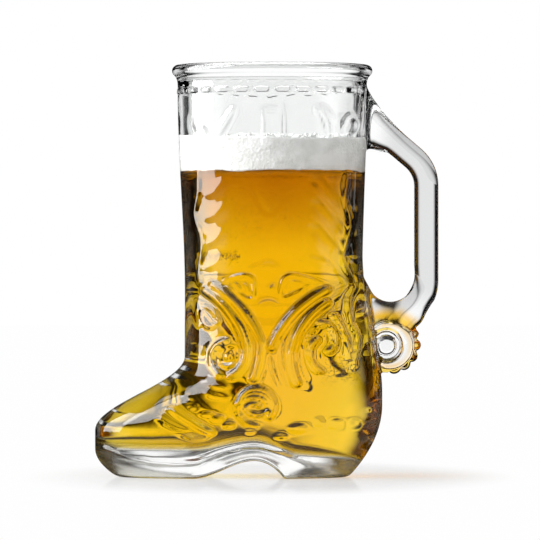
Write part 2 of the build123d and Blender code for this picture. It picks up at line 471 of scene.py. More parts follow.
@dataclass(frozen=True)
class GlassFinish(Finish):
    """Clear pressed glass with the mould's faint ripple, painted shade that greys the handle, and a painted
    reflection of the beer round the spur.
    """

    name: ClassVar[str] = "clear_glass"
    spur: Place
    tint: Colour = (0.985, 0.99, 0.985, 1)
    thick_tint: Colour = (0.94, 0.95, 0.945, 1)
    # Painted shade: a greyer tint for the handle, in place of the darker look of the solid bar.
    handle_painted_shade: Colour = (0.74, 0.745, 0.745, 1)
    handle_out: Span = (0.041, 0.05)
    handle_up: Span = (0.06, 0.075)
    # Painted reflection of the beer: a yellow-brown tint round the spur, placed by the spans and noise
    # below.
    painted_beer_reflection: Colour = (1.0, 0.58, 0.03, 1)
    beer_reflection_inner: Span = (0.0082, 0.0097)
    beer_reflection_outer: Span = (0.017, 0.012)
    beer_reflection_aside: Span = (0.0058, 0.0046)
    beer_reflection_waves: float = 120.0
    beer_reflection_patches: Span = (0.28, 0.48)
    index: float = 1.5
    ripple_waves: float = 90.0
    ripple_depth: float = 0.00012
    haze: float = 0.015
    haze_waves: float = 270.0
    sole_haze: float = 0.14
    sole_down: Span = (0.014, 0.008)
    shadow_tint: Colour = (0.96, 0.97, 0.97, 1)

    def draw(self, sheet: NodeSheet) -> None:
        """Draw the nodes.

        Args:
            sheet: Empty sheet of the material.
        """
        ripple = sheet.noise(self.ripple_waves, 1.0)
        place = sheet.place()
        x, y, z = sheet.apart(place)
        # Painted shade: the handle's bar and web get a greyer tint than the rest of the glass.
        painted_shade_on_handle = x.step(*self.handle_out) * z.step(*self.handle_up)
        clear = sheet.mix(painted_shade_on_handle, sheet.mix(ripple, self.tint, self.thick_tint), self.handle_painted_shade)
        gap = sheet.measure("DISTANCE", place, self.spur)
        # Painted reflection of the beer: patches of yellow-brown tint in a ring round the spur's centre.
        painted_beer_reflection = gap.step(*self.beer_reflection_inner) * gap.step(*self.beer_reflection_outer) * y.size().step(*self.beer_reflection_aside)
        painted_beer_reflection = painted_beer_reflection * sheet.noise(self.beer_reflection_waves, 1.0).step(*self.beer_reflection_patches)
        haze = sheet.noise(self.haze_waves) * self.haze + z.step(*self.sole_down) * self.sole_haze
        glass = sheet.surface(
            {
                "Base Color": sheet.mix(painted_beer_reflection, clear, self.painted_beer_reflection),
                "Roughness": haze,
                "IOR": self.index,
                "Transmission Weight": 1.0,
                "Normal": sheet.bump(ripple, 1.0, self.ripple_depth),
            }
        )
        sheet.finish(sheet.letting_light_by(glass, self.shadow_tint))


@dataclass(frozen=True)
class BeerFinish(Finish):
    """Golden lager, with painted shade that darkens its colour towards the top, under the foam."""

    name: ClassVar[str] = "beer"
    body_tint: Colour = (1.0, 0.98, 0.9, 1)
    # Painted shade: darker colour near the top, where the foam keeps light from above out of the beer.
    painted_shade_tint: Colour = (0.5, 0.3, 0.1, 1)
    painted_shade_from: Span = (0.08, 0.122)
    drift: float = 0.02
    drift_waves: float = 45.0
    gleam: Colour = (0.12, 0.08, 0.03, 1)
    index: float = 1.34
    passed: Colour = (1.0, 0.89, 0.04, 1)
    density: float = 100.0
    shadow_tint: Colour = (0.97, 0.95, 0.9, 1)

    def draw(self, sheet: NodeSheet) -> None:
        """Draw the nodes.

        Args:
            sheet: Empty sheet of the material.
        """
        _, _, height = sheet.apart(sheet.place())
        drift = (sheet.noise(self.drift_waves) - 0.5) * self.drift
        # Painted shade: the colour turns darker towards the foam, with a wobbly edge.
        painted_shade_near_top = (height + drift).step(*self.painted_shade_from)
        beer = sheet.surface(
            {
                "Base Color": sheet.mix(painted_shade_near_top, self.body_tint, self.painted_shade_tint),
                "Roughness": 0.0,
                "Specular Tint": self.gleam,
                "IOR": self.index,
                "Transmission Weight": 1.0,
            }
        )
        absorbed = {"Color": self.passed, "Density": self.density}
        volume = sheet.add("ShaderNodeVolumeAbsorption", None, absorbed)
        sheet.finish(sheet.letting_light_by(beer, self.shadow_tint), volume)


@dataclass(frozen=True)
class FoamFinish(Finish):
    """Fine white beer foam."""

    name: ClassVar[str] = "foam"
    dense: Colour = (0.92, 0.92, 0.91, 1)
    open: Colour = (0.76, 0.76, 0.74, 1)
    patch_waves: float = 160.0
    patch_edge: Span = (0.35, 0.7)
    dull: float = 0.55
    gleam: float = 0.2
    cell_waves: float = 900.0
    cell_strength: float = 0.5
    cell_depth: float = 0.0004
    scatter_share: float = 0.25
    scatter_reach: float = 0.002

    def draw(self, sheet: NodeSheet) -> None:
        """Draw the nodes.

        Args:
            sheet: Empty sheet of the material.
        """
        cells = sheet.add("ShaderNodeTexVoronoi", None, {"Vector": sheet.place(), "Scale": self.cell_waves})
        patches = sheet.noise(self.patch_waves, 3.0)
        foam = sheet.surface(
            {
                "Base Color": sheet.mix(patches.step(*self.patch_edge), self.dense, self.open),
                "Roughness": self.dull - self.gleam * patches,
                "Subsurface Weight": self.scatter_share,
                "Subsurface Radius": (1.0, 1.0, 0.95),
                "Subsurface Scale": self.scatter_reach,
                "Normal": sheet.bump(cells, self.cell_strength, self.cell_depth),
            }
        )
        sheet.finish(foam)


@dataclass(frozen=True)
class BubbleFinish(Finish):
    """Gas bubbles in the beer, with the index of gas against beer."""

    name: ClassVar[str] = "bubbles"
    tint: Colour = (0.97, 0.93, 0.8, 1)
    deep_tint: Colour = (0.85, 0.75, 0.5, 1)
    tint_waves: float = 300.0
    roughness: float = 0.02
    index: float = 0.746

    def draw(self, sheet: NodeSheet) -> None:
        """Draw the nodes.

        Args:
            sheet: Empty sheet of the material.
        """
        bubble = sheet.surface(
            {
                "Base Color": sheet.mix(sheet.noise(self.tint_waves), self.tint, self.deep_tint),
                "Roughness": self.roughness,
                "IOR": self.index,
                "Transmission Weight": 1.0,
            }
        )
        sheet.finish(bubble)


@dataclass(frozen=True)
class FloorFinish(Finish):
    """Pale table top that catches the shadow and fades to the white of the background.

    Glass sees it as a dim room with bright ground round the boot and bright windows far off, but for a
    dim strip behind the boot.
    """

    name: ClassVar[str] = "table_top"
    pale: Colour = (1.0, 1.0, 1.0, 1)
    grain: Colour = (0.985, 0.985, 0.985, 1)
    grain_waves: float = 400.0
    matt: Colour = (0.27, 0.27, 0.27, 1)
    glow: Colour = (0.4, 0.4, 0.4, 1)
    gloss_share: float = 0.24
    gloss_roughness: float = 0.06
    gloss_index: float = 1.45
    squeeze: Place = (1.0, 0.5, 1.0)
    near: Span = (0.1, 0.05)
    strip_left: Span = (-0.03, -0.005)
    strip_right: Span = (0.11, 0.06)
    strip_front: Span = (-0.03, 0.03)
    bright: float = 0.8
    bright_within: Span = (0.6, 0.35)
    window_height: float = 0.15
    window_behind: Span = (0.6, 0.9)
    window_beside: Span = (0.8, 0.95)
    dim: float = 0.03
    dark: float = 0.006

    def draw(self, sheet: NodeSheet) -> None:
        """Draw the nodes.

        Args:
            sheet: Empty sheet of the material.
        """
        place = sheet.place()
        eye = sheet.ray("Is Camera Ray")
        room = self.room(sheet, place) * eye.sibling("Is Transmission Ray") + self.dark
        sheet.finish(sheet.blend(eye, self.glowing(sheet, BLACK, room), self.table(sheet, place)))

    def table(self, sheet: NodeSheet, place: Wire) -> Wire:
        """The table as the eye sees it, matt and glossy near the boot and white beyond.

        Args:
            sheet: Sheet of the material.
            place: Place on the table.

        Returns:
            The shader.
        """
        squeezed = sheet.add("ShaderNodeVectorMath", {"operation": "MULTIPLY"}, {0: place, 1: self.squeeze})
        near = sheet.measure("LENGTH", squeezed).step(*self.near)
        white = sheet.mix(sheet.noise(self.grain_waves), self.pale, self.grain)
        table = self.glowing(sheet, sheet.mix(near, BLACK, self.matt), sheet.mix(near, white, self.glow))
        gloss = sheet.add("ShaderNodeBsdfGlossy", None, {"Roughness": self.gloss_roughness})
        graze = sheet.add("ShaderNodeFresnel", None, {"IOR": self.gloss_index})
        return sheet.blend(near * graze * self.gloss_share, table, gloss)

    def room(self, sheet: NodeSheet, place: Wire) -> Wire:
        """Level of the light that the glass sees on the ground.

        Args:
            sheet: Sheet of the material.
            place: Place on the table.

        Returns:
            The level.
        """
        x, y, _ = sheet.apart(place)
        distance = sheet.measure("LENGTH", place)
        strip = x.step(*self.strip_left) * x.step(*self.strip_right) * y.step(*self.strip_front)
        bright = self.bright * distance.step(*self.bright_within) * (1 - strip)
        reach = distance + self.window_height
        window = (y / reach).step(*self.window_behind).larger((x.size() / reach).step(*self.window_beside))
        return self.dim + bright.larger(window) * (1 - self.dim)

    @staticmethod
    def glowing(sheet: NodeSheet, colour: Any, glow: Any) -> Wire:
        """Matt surface with a glow of its own."""
        sockets = {"Base Color": colour, "Specular IOR Level": 0.0, "Emission Color": glow}
        return sheet.surface(sockets | {"Emission Strength": 1.0})


@dataclass(frozen=True)
class BootForm:
    """Outside and hollow of the boot, in millimetres from the shaft's axis."""

    shaft_x: float
    rim_height: float
    rim_radius: float
    toe_reach: float
    rim_bead_radius: float = 2.3
    bead_start_angle: float = -50.0
    lip_height: float = 10.0
    neck_radius: float = 36.8
    waist_front: float = 34.0
    waist_back: float = 35.0
    waist_side: float = 34.5
    flare_start_height: float = 70.0
    toe_shoulder_height: float = 18.0
    instep_top_height: float = 47.0
    heel_reach: float = 42.8
    heel_bulge_height: float = 32.0
    heel_fade_height: float = 88.0
    foot_half_width: float = 31.0
    ankle_height: float = 60.0
    ball_offset: float = 10.0
    foot_fullness: float = 0.8
    toe_spring: float = 8.5
    toe_spring_height: float = 11.0
    heel_undercut: float = 13.0
    heel_undercut_height: float = 28.0
    side_bevel: float = 2.5
    side_bevel_height: float = 6.0
    arch_front: float = -30.0
    arch_peak: float = -7.0
    arch_back: float = 4.7
    arch_height: float = 7.0
    arch_entry_angle: float = 3.0
    heel_breast_angle: float = -53.0
    wall: float = 4.0
    toe_floor: float = 10.7
    arch_floor: float = 7.0
    heel_floor: float = 8.5
    floor_round: float = 5.0
    slope_step: float = 0.1

    @property
    def neck_height(self) -> float:
        """Height where the lip begins."""
        return self.rim_height - self.lip_height

    def flare(self, height: np.ndarray) -> np.ndarray:
        """0 up to where the shaft begins to widen, 1 at the neck."""
        return ease(height, self.flare_start_height, self.neck_height)

    def foot_share(self, height: np.ndarray) -> np.ndarray:
        """1 at the toe's shoulder, 0 at the top of the instep."""
        return 1 - ease(height, self.toe_shoulder_height, self.instep_top_height)

    def front(self, height: np.ndarray) -> np.ndarray:
        """Reach of the outside towards the toe.

        Args:
            height: Heights above the ground.

        Returns:
            Reach at each height.
        """
        reach = self.waist_front + (self.neck_radius - self.waist_front) * self.flare(height)
        reach = reach + (self.toe_reach - self.waist_front) * self.foot_share(height)
        return reach - drawn_in(height, self.toe_spring, self.toe_spring_height)

    def back(self, height: np.ndarray) -> np.ndarray:
        """Reach of the outside towards the heel.

        Args:
            height: Heights above the ground.

        Returns:
            Reach at each height.
        """
        reach = self.waist_back + (self.neck_radius - self.waist_back) * self.flare(height)
        bulge = 1 - ease(height, self.heel_bulge_height, self.heel_fade_height)
        reach = reach + (self.heel_reach - self.waist_back) * bulge
        return reach - drawn_in(height, self.heel_undercut, self.heel_undercut_height)

    def side(self, height: np.ndarray) -> np.ndarray:
        """Half width of the outside.

        Args:
            height: Heights above the ground.

        Returns:
            Half width at each height.
        """
        rise = ease(height, self.toe_shoulder_height, self.ankle_height)
        width = self.foot_half_width + (self.waist_side - self.foot_half_width) * rise
        width = width + (self.neck_radius - self.waist_side) * self.flare(height)
        return width - drawn_in(height, self.side_bevel, self.side_bevel_height)

    def across(self, reach: Callable[[np.ndarray], np.ndarray], height: np.ndarray) -> np.ndarray:
        """Level thickness of a wall that slopes as the reach does at this height.

        Args:
            reach: Reach of the wall's outside by height.
            height: Heights above the ground.

        Returns:
            Thickness at each height.
        """
        step = self.slope_step
        slope = (reach(height + step) - reach(height - step)) / (2 * step)
        return self.wall * np.sqrt(1 + slope**2)

    def section(
        self,
        height: np.ndarray,
        turn: np.ndarray,
        front: np.ndarray,
        back: np.ndarray,
        side: np.ndarray,
    ) -> np.ndarray:
        """Point of a level section of four conic arcs.

        Args:
            height: Height of each point.
            turn: Angle of each point about the section, from the heel.
            front: Reach towards the toe.
            back: Reach towards the heel.
            side: Half width.

        Returns:
            Points, from the shaft's axis.
        """
        ball = -self.ball_offset * self.foot_share(height)
        round_weight = math.sqrt(0.5)
        weight = round_weight + (self.foot_fullness - round_weight) * self.foot_share(height)
        lengthwise, crosswise = np.abs(np.cos(turn)), np.abs(np.sin(turn))
        square = (1 - 2 * weight) * (lengthwise - crosswise)
        linear = 2 * weight * lengthwise + 2 * (1 - weight) * crosswise
        share = 2 * crosswise / (linear + np.sqrt(linear**2 + 4 * square * crosswise))
        rest, bend = 1 - share, 2 * weight * share * (1 - share)
        whole = rest**2 + bend + share**2
        corner = np.where(np.cos(turn) > 0, back, -front)
        x = ball + (corner - ball) * (rest**2 + bend) / whole
        y = np.sign(np.sin(turn)) * side * (bend + share**2) / whole
        return np.stack(np.broadcast_arrays(x, y, height), axis=-1)

    def outside(self, height: np.ndarray, turn: np.ndarray) -> np.ndarray:
        """Points of the outside."""
        return self.section(height, turn, self.front(height), self.back(height), self.side(height))

    def hollow(self, height: np.ndarray, turn: np.ndarray, push: float = 0.0) -> np.ndarray:
        """Points of the hollow's wall, pushed out by a little where another piece wets it.

        Args:
            height: Height of each point.
            turn: Angle of each point about the section, from the heel.
            push: How far the points lie outside the wall.

        Returns:
            Points, from the shaft's axis.
        """
        return self.section(
            height,
            turn,
            self.front(height) - self.across(self.front, height) + push,
            self.back(height) - self.across(self.back, height) + push,
            self.side(height) - self.wall + push,
        )

    def arch(self, x: np.ndarray) -> np.ndarray:
        """Height of the underside between the sole and the heel.

        Args:
            x: Places from toe to heel.

        Returns:
            Height at each place.
        """
        entry = math.tan(math.radians(self.arch_entry_angle)) * (self.arch_peak - self.arch_front)
        breast = math.tan(math.radians(self.heel_breast_angle)) * (self.arch_back - self.arch_peak)
        rise = np.clip((x - self.arch_front) / (self.arch_peak - self.arch_front), 0, 1)
        fall = np.clip((x - self.arch_peak) / (self.arch_back - self.arch_peak), 0, 1)
        up = swept(0, entry, self.arch_height, 0, rise)
        down = swept(self.arch_height, 0, 0, breast, fall)
        return np.maximum(np.where(x < self.arch_peak, up, down), 0)

    def floor(self, x: np.ndarray) -> np.ndarray:
        """Height of the hollow's floor, which rises over the arch.

        Args:
            x: Places from toe to heel.

        Returns:
            Height at each place.
        """
        crown = self.arch_height + self.arch_floor
        rise = self.toe_floor + (crown - self.toe_floor) * ease(x, self.arch_front, self.arch_peak)
        return rise + (self.heel_floor - crown) * ease(x, self.arch_peak, self.arch_back + self.wall)

    def placed(self, points: np.ndarray) -> np.ndarray:
        """Points moved from the shaft's axis to the part's own origin."""
        return points + np.array([self.shaft_x, 0, 0])


@dataclass(frozen=True)
class Stroke:
    """Raised line of the ornament through a few points of the boot's side, toe to heel and up."""

    run_points: ClassVar[int] = 7
    flatness: ClassVar[int] = 5
    taper_power: ClassVar[int] = 3
    points: tuple[Point, ...]
    width: float = 2.0
    height: float = 0.8
    taper: float = 0.5
    softness: float = 0.6

    def line(self) -> np.ndarray:
        """Points along a smooth line through the stroke's own points.

        Returns:
            The points.
        """
        knots = np.array(self.points, float)
        padded = np.vstack([2 * knots[0] - knots[1], knots, 2 * knots[-1] - knots[-2]])
        slopes = (padded[2:] - padded[:-2]) / 2
        share = np.linspace(0, 1, self.run_points)[:, None]
        ends = zip(knots, slopes, knots[1:], slopes[1:])
        return np.vstack([swept(start, leave, end, arrive, share) for start, leave, end, arrive in ends])

    def relief(self, x: np.ndarray, z: np.ndarray) -> np.ndarray:
        """Height of the stroke over the plain wall.

        Args:
            x: Places from toe to heel.
            z: Places up the boot.

        Returns:
            Height at each place.
        """
        line = self.line()
        raised = np.zeros_like(x)
        low, high = line.min(axis=0) - self.width, line.max(axis=0) + self.width
        near = (x > low[0]) & (x < high[0]) & (z > low[1]) & (z < high[1])
        px, pz = x[near], z[near]
        best = np.zeros_like(px)
        for number, (start, run) in enumerate(zip(line, np.diff(line, axis=0))):
            span = float(run @ run)
            if span == 0:
                continue
            along = np.clip(((px - start[0]) * run[0] + (pz - start[1]) * run[1]) / span, 0, 1)
            gap = np.hypot(px - start[0] - along * run[0], pz - start[1] - along * run[1])
            from_middle = np.abs(2 * (number + along) / (len(line) - 1) - 1)
            scale = 1 - self.taper * from_middle**self.taper_power
            fall = (2 * gap / (self.width * scale)) ** self.flatness
            best = np.maximum(best, self.height * scale * np.clip(1 - fall, 0, None) ** self.softness)
        raised[near] = best
        return raised


def bow(
    start: Point,
    middle: Point,
    end: Point,
    width: float,
    height: float = 2.1,
    softness: float = 0.6,
) -> Stroke:
    """Rib along the arc of a circle through three points.

    Args:
        start: Start of the arc.
        middle: Any point between.
        end: End of the arc.
        width: Width of the rib.
        height: Height of the rib.
        softness: How gently its sides fall away.

    Returns:
        The rib as a stroke.
    """
    first, second, third = (complex(*point) for point in (start, middle, end))
    ratio = (third - first) / (second - first)
    centre = first + (second - first) * (ratio - abs(ratio) ** 2) / (2j * ratio.imag)
    spoke = first - centre
    sweep = cmath.phase((second - centre) / spoke) + cmath.phase((third - centre) / (second - centre))
    steps = Stroke.run_points - 1
    places = [centre + spoke * cmath.rect(1, sweep * step / steps) for step in range(steps + 1)]
    return Stroke(tuple((place.real, place.imag) for place in places), width, height, 0.0, softness)


def spiral(
    centre: Point,
    radii: Span,
    start: float,
    turns: float,
    width: float,
    height: float,
    stretch: float = 1.0,
) -> Stroke:
    """Scroll that winds inwards.

    Args:
        centre: Centre of the scroll.
        radii: Radius where it begins and where it ends.
        start: Angle where it begins, in degrees.
        turns: Turns, clockwise where they are negative.
        width: Width of its line.
        height: Height of its line.
        stretch: How much longer it is than it is high.

    Returns:
        The scroll as a stroke.
    """
    points_per_turn = 12
    count = int(abs(turns) * points_per_turn)
    angles = np.radians(start + 360 * turns * np.linspace(0, 1, count + 1))
    reach = np.linspace(*radii, count + 1)
    x = centre[0] + stretch * reach * np.cos(angles)
    z = centre[1] + reach * np.sin(angles)
    return Stroke(tuple(zip(x, z)), width, height, taper=0.3)


@dataclass(frozen=True)
class Boss:
    """Oval dome of the ornament."""

    softness: ClassVar[float] = 0.6
    centre: Point
    half_length: float
    half_height: float
    height: float

    def relief(self, x: np.ndarray, z: np.ndarray) -> np.ndarray:
        """Height of the dome over the plain wall.

        Args:
            x: Places from toe to heel.
            z: Places up the boot.

        Returns:
            Height at each place.
        """
        spread = ((x - self.centre[0]) / self.half_length) ** 2
        spread = spread + ((z - self.centre[1]) / self.half_height) ** 2
        return self.height * np.clip(1 - spread**2, 0, None) ** self.softness


@dataclass(frozen=True)
class Stitching:
    """Row of raised stitches round the neck."""

    height: float = 149.6
    count: int = 29
    half_length: float = 2.9
    half_width: float = 1.2
    relief_height: float = 1.2
    edge: float = 0.5
    far_share: float = 0.35
    turned_share: float = 0.3

    def relief(self, turn: np.ndarray, z: np.ndarray, radius: float) -> np.ndarray:
        """Height of the stitches over the plain neck.

        Args:
            turn: Angles about the shaft.
            z: Places up the boot.
            radius: Radius of the neck.

        Returns:
            Height at each place.
        """
        pitch = 2 * np.pi / self.count
        offset = (turn - np.pi / 2 + pitch / 2) % pitch - pitch / 2
        along = np.clip(np.abs(offset * radius) - self.half_length + self.half_width, 0, None)
        depth = self.half_width - np.hypot(along, z - self.height)
        return self.relief_height * ease(depth, 0, self.edge)


BAND, SCROLL, FEATHER = 3.4, 2.2, 5.0
SCROLLWORK: tuple[Stroke | Boss, ...] = (
    # Bands that sweep from the sides down to the waist
    bow((-22.6, 74.6), (-11.1, 64.1), (-4.6, 52.5), BAND),
    bow((-4.6, 52.5), (-5.0, 46.0), (-7.0, 39.0), BAND),
    bow((-25.5, 72.5), (-14.5, 61.8), (-10.0, 51.0), BAND),
    bow((-10.0, 51.0), (-10.8, 44.5), (-15.0, 40.0), BAND),
    bow((20.6, 72.6), (8.0, 63.3), (-0.2, 51.0), BAND),
    bow((20.4, 67.6), (11.7, 59.4), (7.4, 49.0), BAND),
    bow((7.4, 49.0), (7.7, 43.0), (9.5, 37.0), BAND),
    # Scrolls beside the bands and on the foot
    bow((-18.1, 53.2), (-23.3, 46.4), (-20.2, 40.0), SCROLL),
    bow((18.5, 60.0), (24.2, 54.2), (21.8, 49.0), SCROLL),
    bow((16.5, 53.5), (14.3, 47.5), (18.5, 41.5), SCROLL),
    bow((24.0, 62.5), (27.9, 54.5), (29.0, 46.0), SCROLL),
    bow((-12.7, 29.4), (-4.5, 34.6), (-1.0, 24.0), SCROLL),
    bow((-38.5, 27.0), (-31.5, 22.3), (-24.0, 18.0), SCROLL),
    # Feathers up both edges of the shaft
    bow((-24.5, 109.6), (-21.6, 111.2), (-18.4, 114.9), 3.6, 0.6, 1.6),
    bow((-24.5, 100.6), (-21.6, 102.0), (-18.2, 105.4), 3.6, 0.6, 1.6),
    bow((-24.5, 90.6), (-22.0, 92.0), (-19.0, 95.0), 3.6, 0.6, 1.6),
    bow((-24.5, 81.6), (-22.0, 82.8), (-19.2, 85.4), 3.2, 0.6, 1.6),
    *(
        bow((29.5, foot), (25.0, foot + 5.5), (17.0, foot + 15.0), FEATHER, 1.0, 2.0)
        for foot in (99.5, 90.0, 80.5)
    ),
    # Wavy piping between the side panels and the front and back ones
    Stroke(
        (
            (-28.5, 118.0), (-28.5, 110.0), (-30.0, 101.5), (-27.0, 93.0), (-27.0, 87.5), (-28.3, 80.0),
            (-27.5, 75.0),
        ),
        width=2.2,
        height=2.2,
        taper=0.2,
    ),
    Stroke(
        (
            (28.8, 118.0), (27.6, 107.5), (29.9, 98.7), (27.0, 86.5), (28.2, 81.5), (31.6, 74.5),
            (29.3, 69.0), (29.9, 60.0), (32.8, 54.0), (31.0, 42.5),
        ),
        width=2.4,
        height=3.0,
        taper=0.2,
    ),
    # Curls inside the scrolls
    spiral((-16.6, 46.8), (4.9, 2.4), 60.0, 1.0, 1.5, 0.9),
    Boss((-16.6, 46.8), 1.6, 1.6, 0.7),
    spiral((-6.5, 27.6), (4.6, 0.8), 200.0, -1.5, 1.4, 1.1, 1.7),
    Stroke(((-12.6, 29.5), (-13.0, 25.5), (-10.0, 21.5), (-5.5, 20.5)), 1.8, 0.7),
    Stroke(((11.8, 55.5), (10.6, 49.0), (11.4, 42.5), (13.5, 37.5)), 1.5, 0.7),
    Stroke(((16.8, 58.0), (13.8, 55.0), (12.6, 51.5)), 1.3, 0.7),
    Stroke(((18.0, 50.5), (17.3, 47.0), (19.5, 44.5)), 1.3, 0.6),
    Stroke(((25.0, 60.0), (25.6, 54.5), (25.4, 48.5)), 1.4, 0.6),
    Stroke(((-1.0, 47.0), (0.5, 41.0), (4.0, 33.0)), 1.6, 0.6),
    Stroke(((3.8, 52.5), (3.2, 47.0), (4.6, 40.5), (7.5, 33.5)), 1.5, 0.6),
    Stroke(((-3.0, 41.5), (-4.6, 37.5), (-5.5, 35.0)), 1.2, 0.5),
    # Leaves on the toe's side of the waist
    Stroke(((-26.5, 67.0), (-22.5, 64.5), (-20.5, 60.5)), 1.6, 0.8),
    Stroke(((-26.5, 66.5), (-26.8, 62.0), (-24.5, 58.5), (-20.5, 60.0)), 1.6, 0.8),
    Stroke(((-30.0, 70.0), (-29.5, 64.0), (-28.0, 58.0)), 1.6, 0.7),
    # Wings above the bands
    Stroke(
        (
            (-19.5, 75.5), (-14.0, 77.8), (-8.5, 77.5), (-7.0, 73.5), (-7.8, 69.0), (-12.0, 70.5),
            (-17.0, 74.5),
        ),
        width=1.4,
        height=0.9,
    ),
    Stroke(((-14.5, 75.5), (-12.0, 72.0)), 1.4, 0.8),
    Stroke(((-10.5, 75.5), (-8.8, 71.0)), 1.4, 0.8),
    Stroke(
        (
            (19.5, 74.8), (13.5, 77.0), (6.5, 78.0), (3.5, 75.0), (3.8, 69.5), (9.0, 71.0),
            (15.0, 75.0),
        ),
        width=1.4,
        height=0.9,
    ),
    Stroke(((7.5, 76.0), (11.5, 75.0)), 1.4, 0.8),
    Boss((-1.5, 80.5), 3.8, 3.0, 0.4),
    Boss((-1.5, 66.0), 4.6, 3.2, 0.5),
    Boss((0.0, 73.0), 0.9, 1.8, 0.6),
    # Leaves on the vamp
    Stroke(((-33.0, 35.0), (-32.5, 31.0), (-30.0, 26.5)), 1.7, 0.8),
    Stroke(((-26.0, 38.5), (-22.5, 36.0), (-18.5, 35.0)), 1.8, 0.8),
    Stroke(((-26.5, 35.5), (-23.5, 32.5), (-17.5, 31.0)), 1.8, 0.8),
    Stroke(((-44.0, 24.0), (-38.5, 20.5), (-33.0, 18.5)), 1.8, 0.8),
    Stroke(((-34.5, 17.3), (-30.0, 15.5), (-23.5, 16.3)), 1.5, 0.6),
    Stroke(((-27.0, 25.0), (-23.5, 24.8), (-20.5, 22.5)), 1.6, 0.7),
    # Row of studs along the foot
    Boss((-21.0, 23.2), 2.2, 1.3, 1.0),
    Boss((-16.5, 20.8), 2.0, 1.1, 0.9),
    Boss((-8.5, 18.3), 2.0, 1.0, 0.9),
    Boss((3.0, 16.4), 2.2, 0.9, 0.8),
    Boss((10.0, 19.5), 3.6, 2.0, 0.6),
    Boss((18.3, 21.8), 1.6, 2.4, 0.7),
    Boss((25.0, 21.0), 3.0, 2.4, 0.8),
    Boss((31.8, 21.2), 2.5, 2.2, 1.1),
    Boss((36.8, 24.5), 1.7, 2.3, 1.5),
    Stroke(((12.0, 33.0), (10.5, 29.0), (13.0, 26.5)), 1.5, 0.6),
    # Veins on the side panel of the shaft
    Stroke(((-8.0, 113.0), (-4.5, 105.5), (-1.5, 102.5), (2.5, 105.5), (4.5, 111.0)), 2.4, 0.3),
    Stroke(((24.0, 80.0), (20.0, 83.0), (14.0, 84.5)), 2.4, 0.6),
    # Leaves at the neck
    Stroke(((-15.0, 141.5), (-21.0, 131.5)), 2.6, 1.9, 0.2),
    Stroke(((-31.5, 139.5), (-30.3, 134.5), (-27.5, 129.5)), 2.0, 2.4),
    Stroke(((-29.5, 138.5), (-27.0, 135.0), (-25.3, 131.0)), 1.6, 1.8),
    Stroke(((-3.5, 142.0), (-3.5, 126.0)), 1.5, 1.2),
    Stroke(((4.5, 143.0), (4.5, 126.0)), 1.6, 1.3),
    Stroke(((-2.5, 142.0), (1.5, 142.0)), 1.4, 1.2),
    Stroke(((17.0, 142.5), (20.0, 138.0), (21.5, 130.0)), 2.4, 2.0),
    Stroke(((17.5, 143.0), (20.8, 141.5), (24.0, 137.0)), 1.4, 1.6),
    Stroke(
        (
            (27.0, 131.0), (27.2, 136.5), (29.7, 139.8), (32.5, 137.5), (32.3, 134.5), (29.5, 131.0),
        ),
        width=1.6,
        height=2.4,
    ),
    Stroke(((-13.0, 129.0), (-11.5, 119.0)), 2.6, 0.8, 0.5, 1.5),
    Stroke(((9.0, 129.0), (10.0, 119.0)), 2.6, 0.8, 0.5, 1.5),
    Stroke(((27.0, 130.0), (28.0, 119.0)), 2.4, 1.4),
    # Welt above the sole
    Stroke(
        (
            (-65.5, 11.2), (-57.4, 8.3), (-40.5, 6.1), (-28.8, 6.8), (-18.4, 10.5), (-7.4, 12.7),
            (3.5, 10.5), (14.6, 6.8), (25.6, 5.3),
        ),
        width=1.6,
        height=0.8,
    ),
)


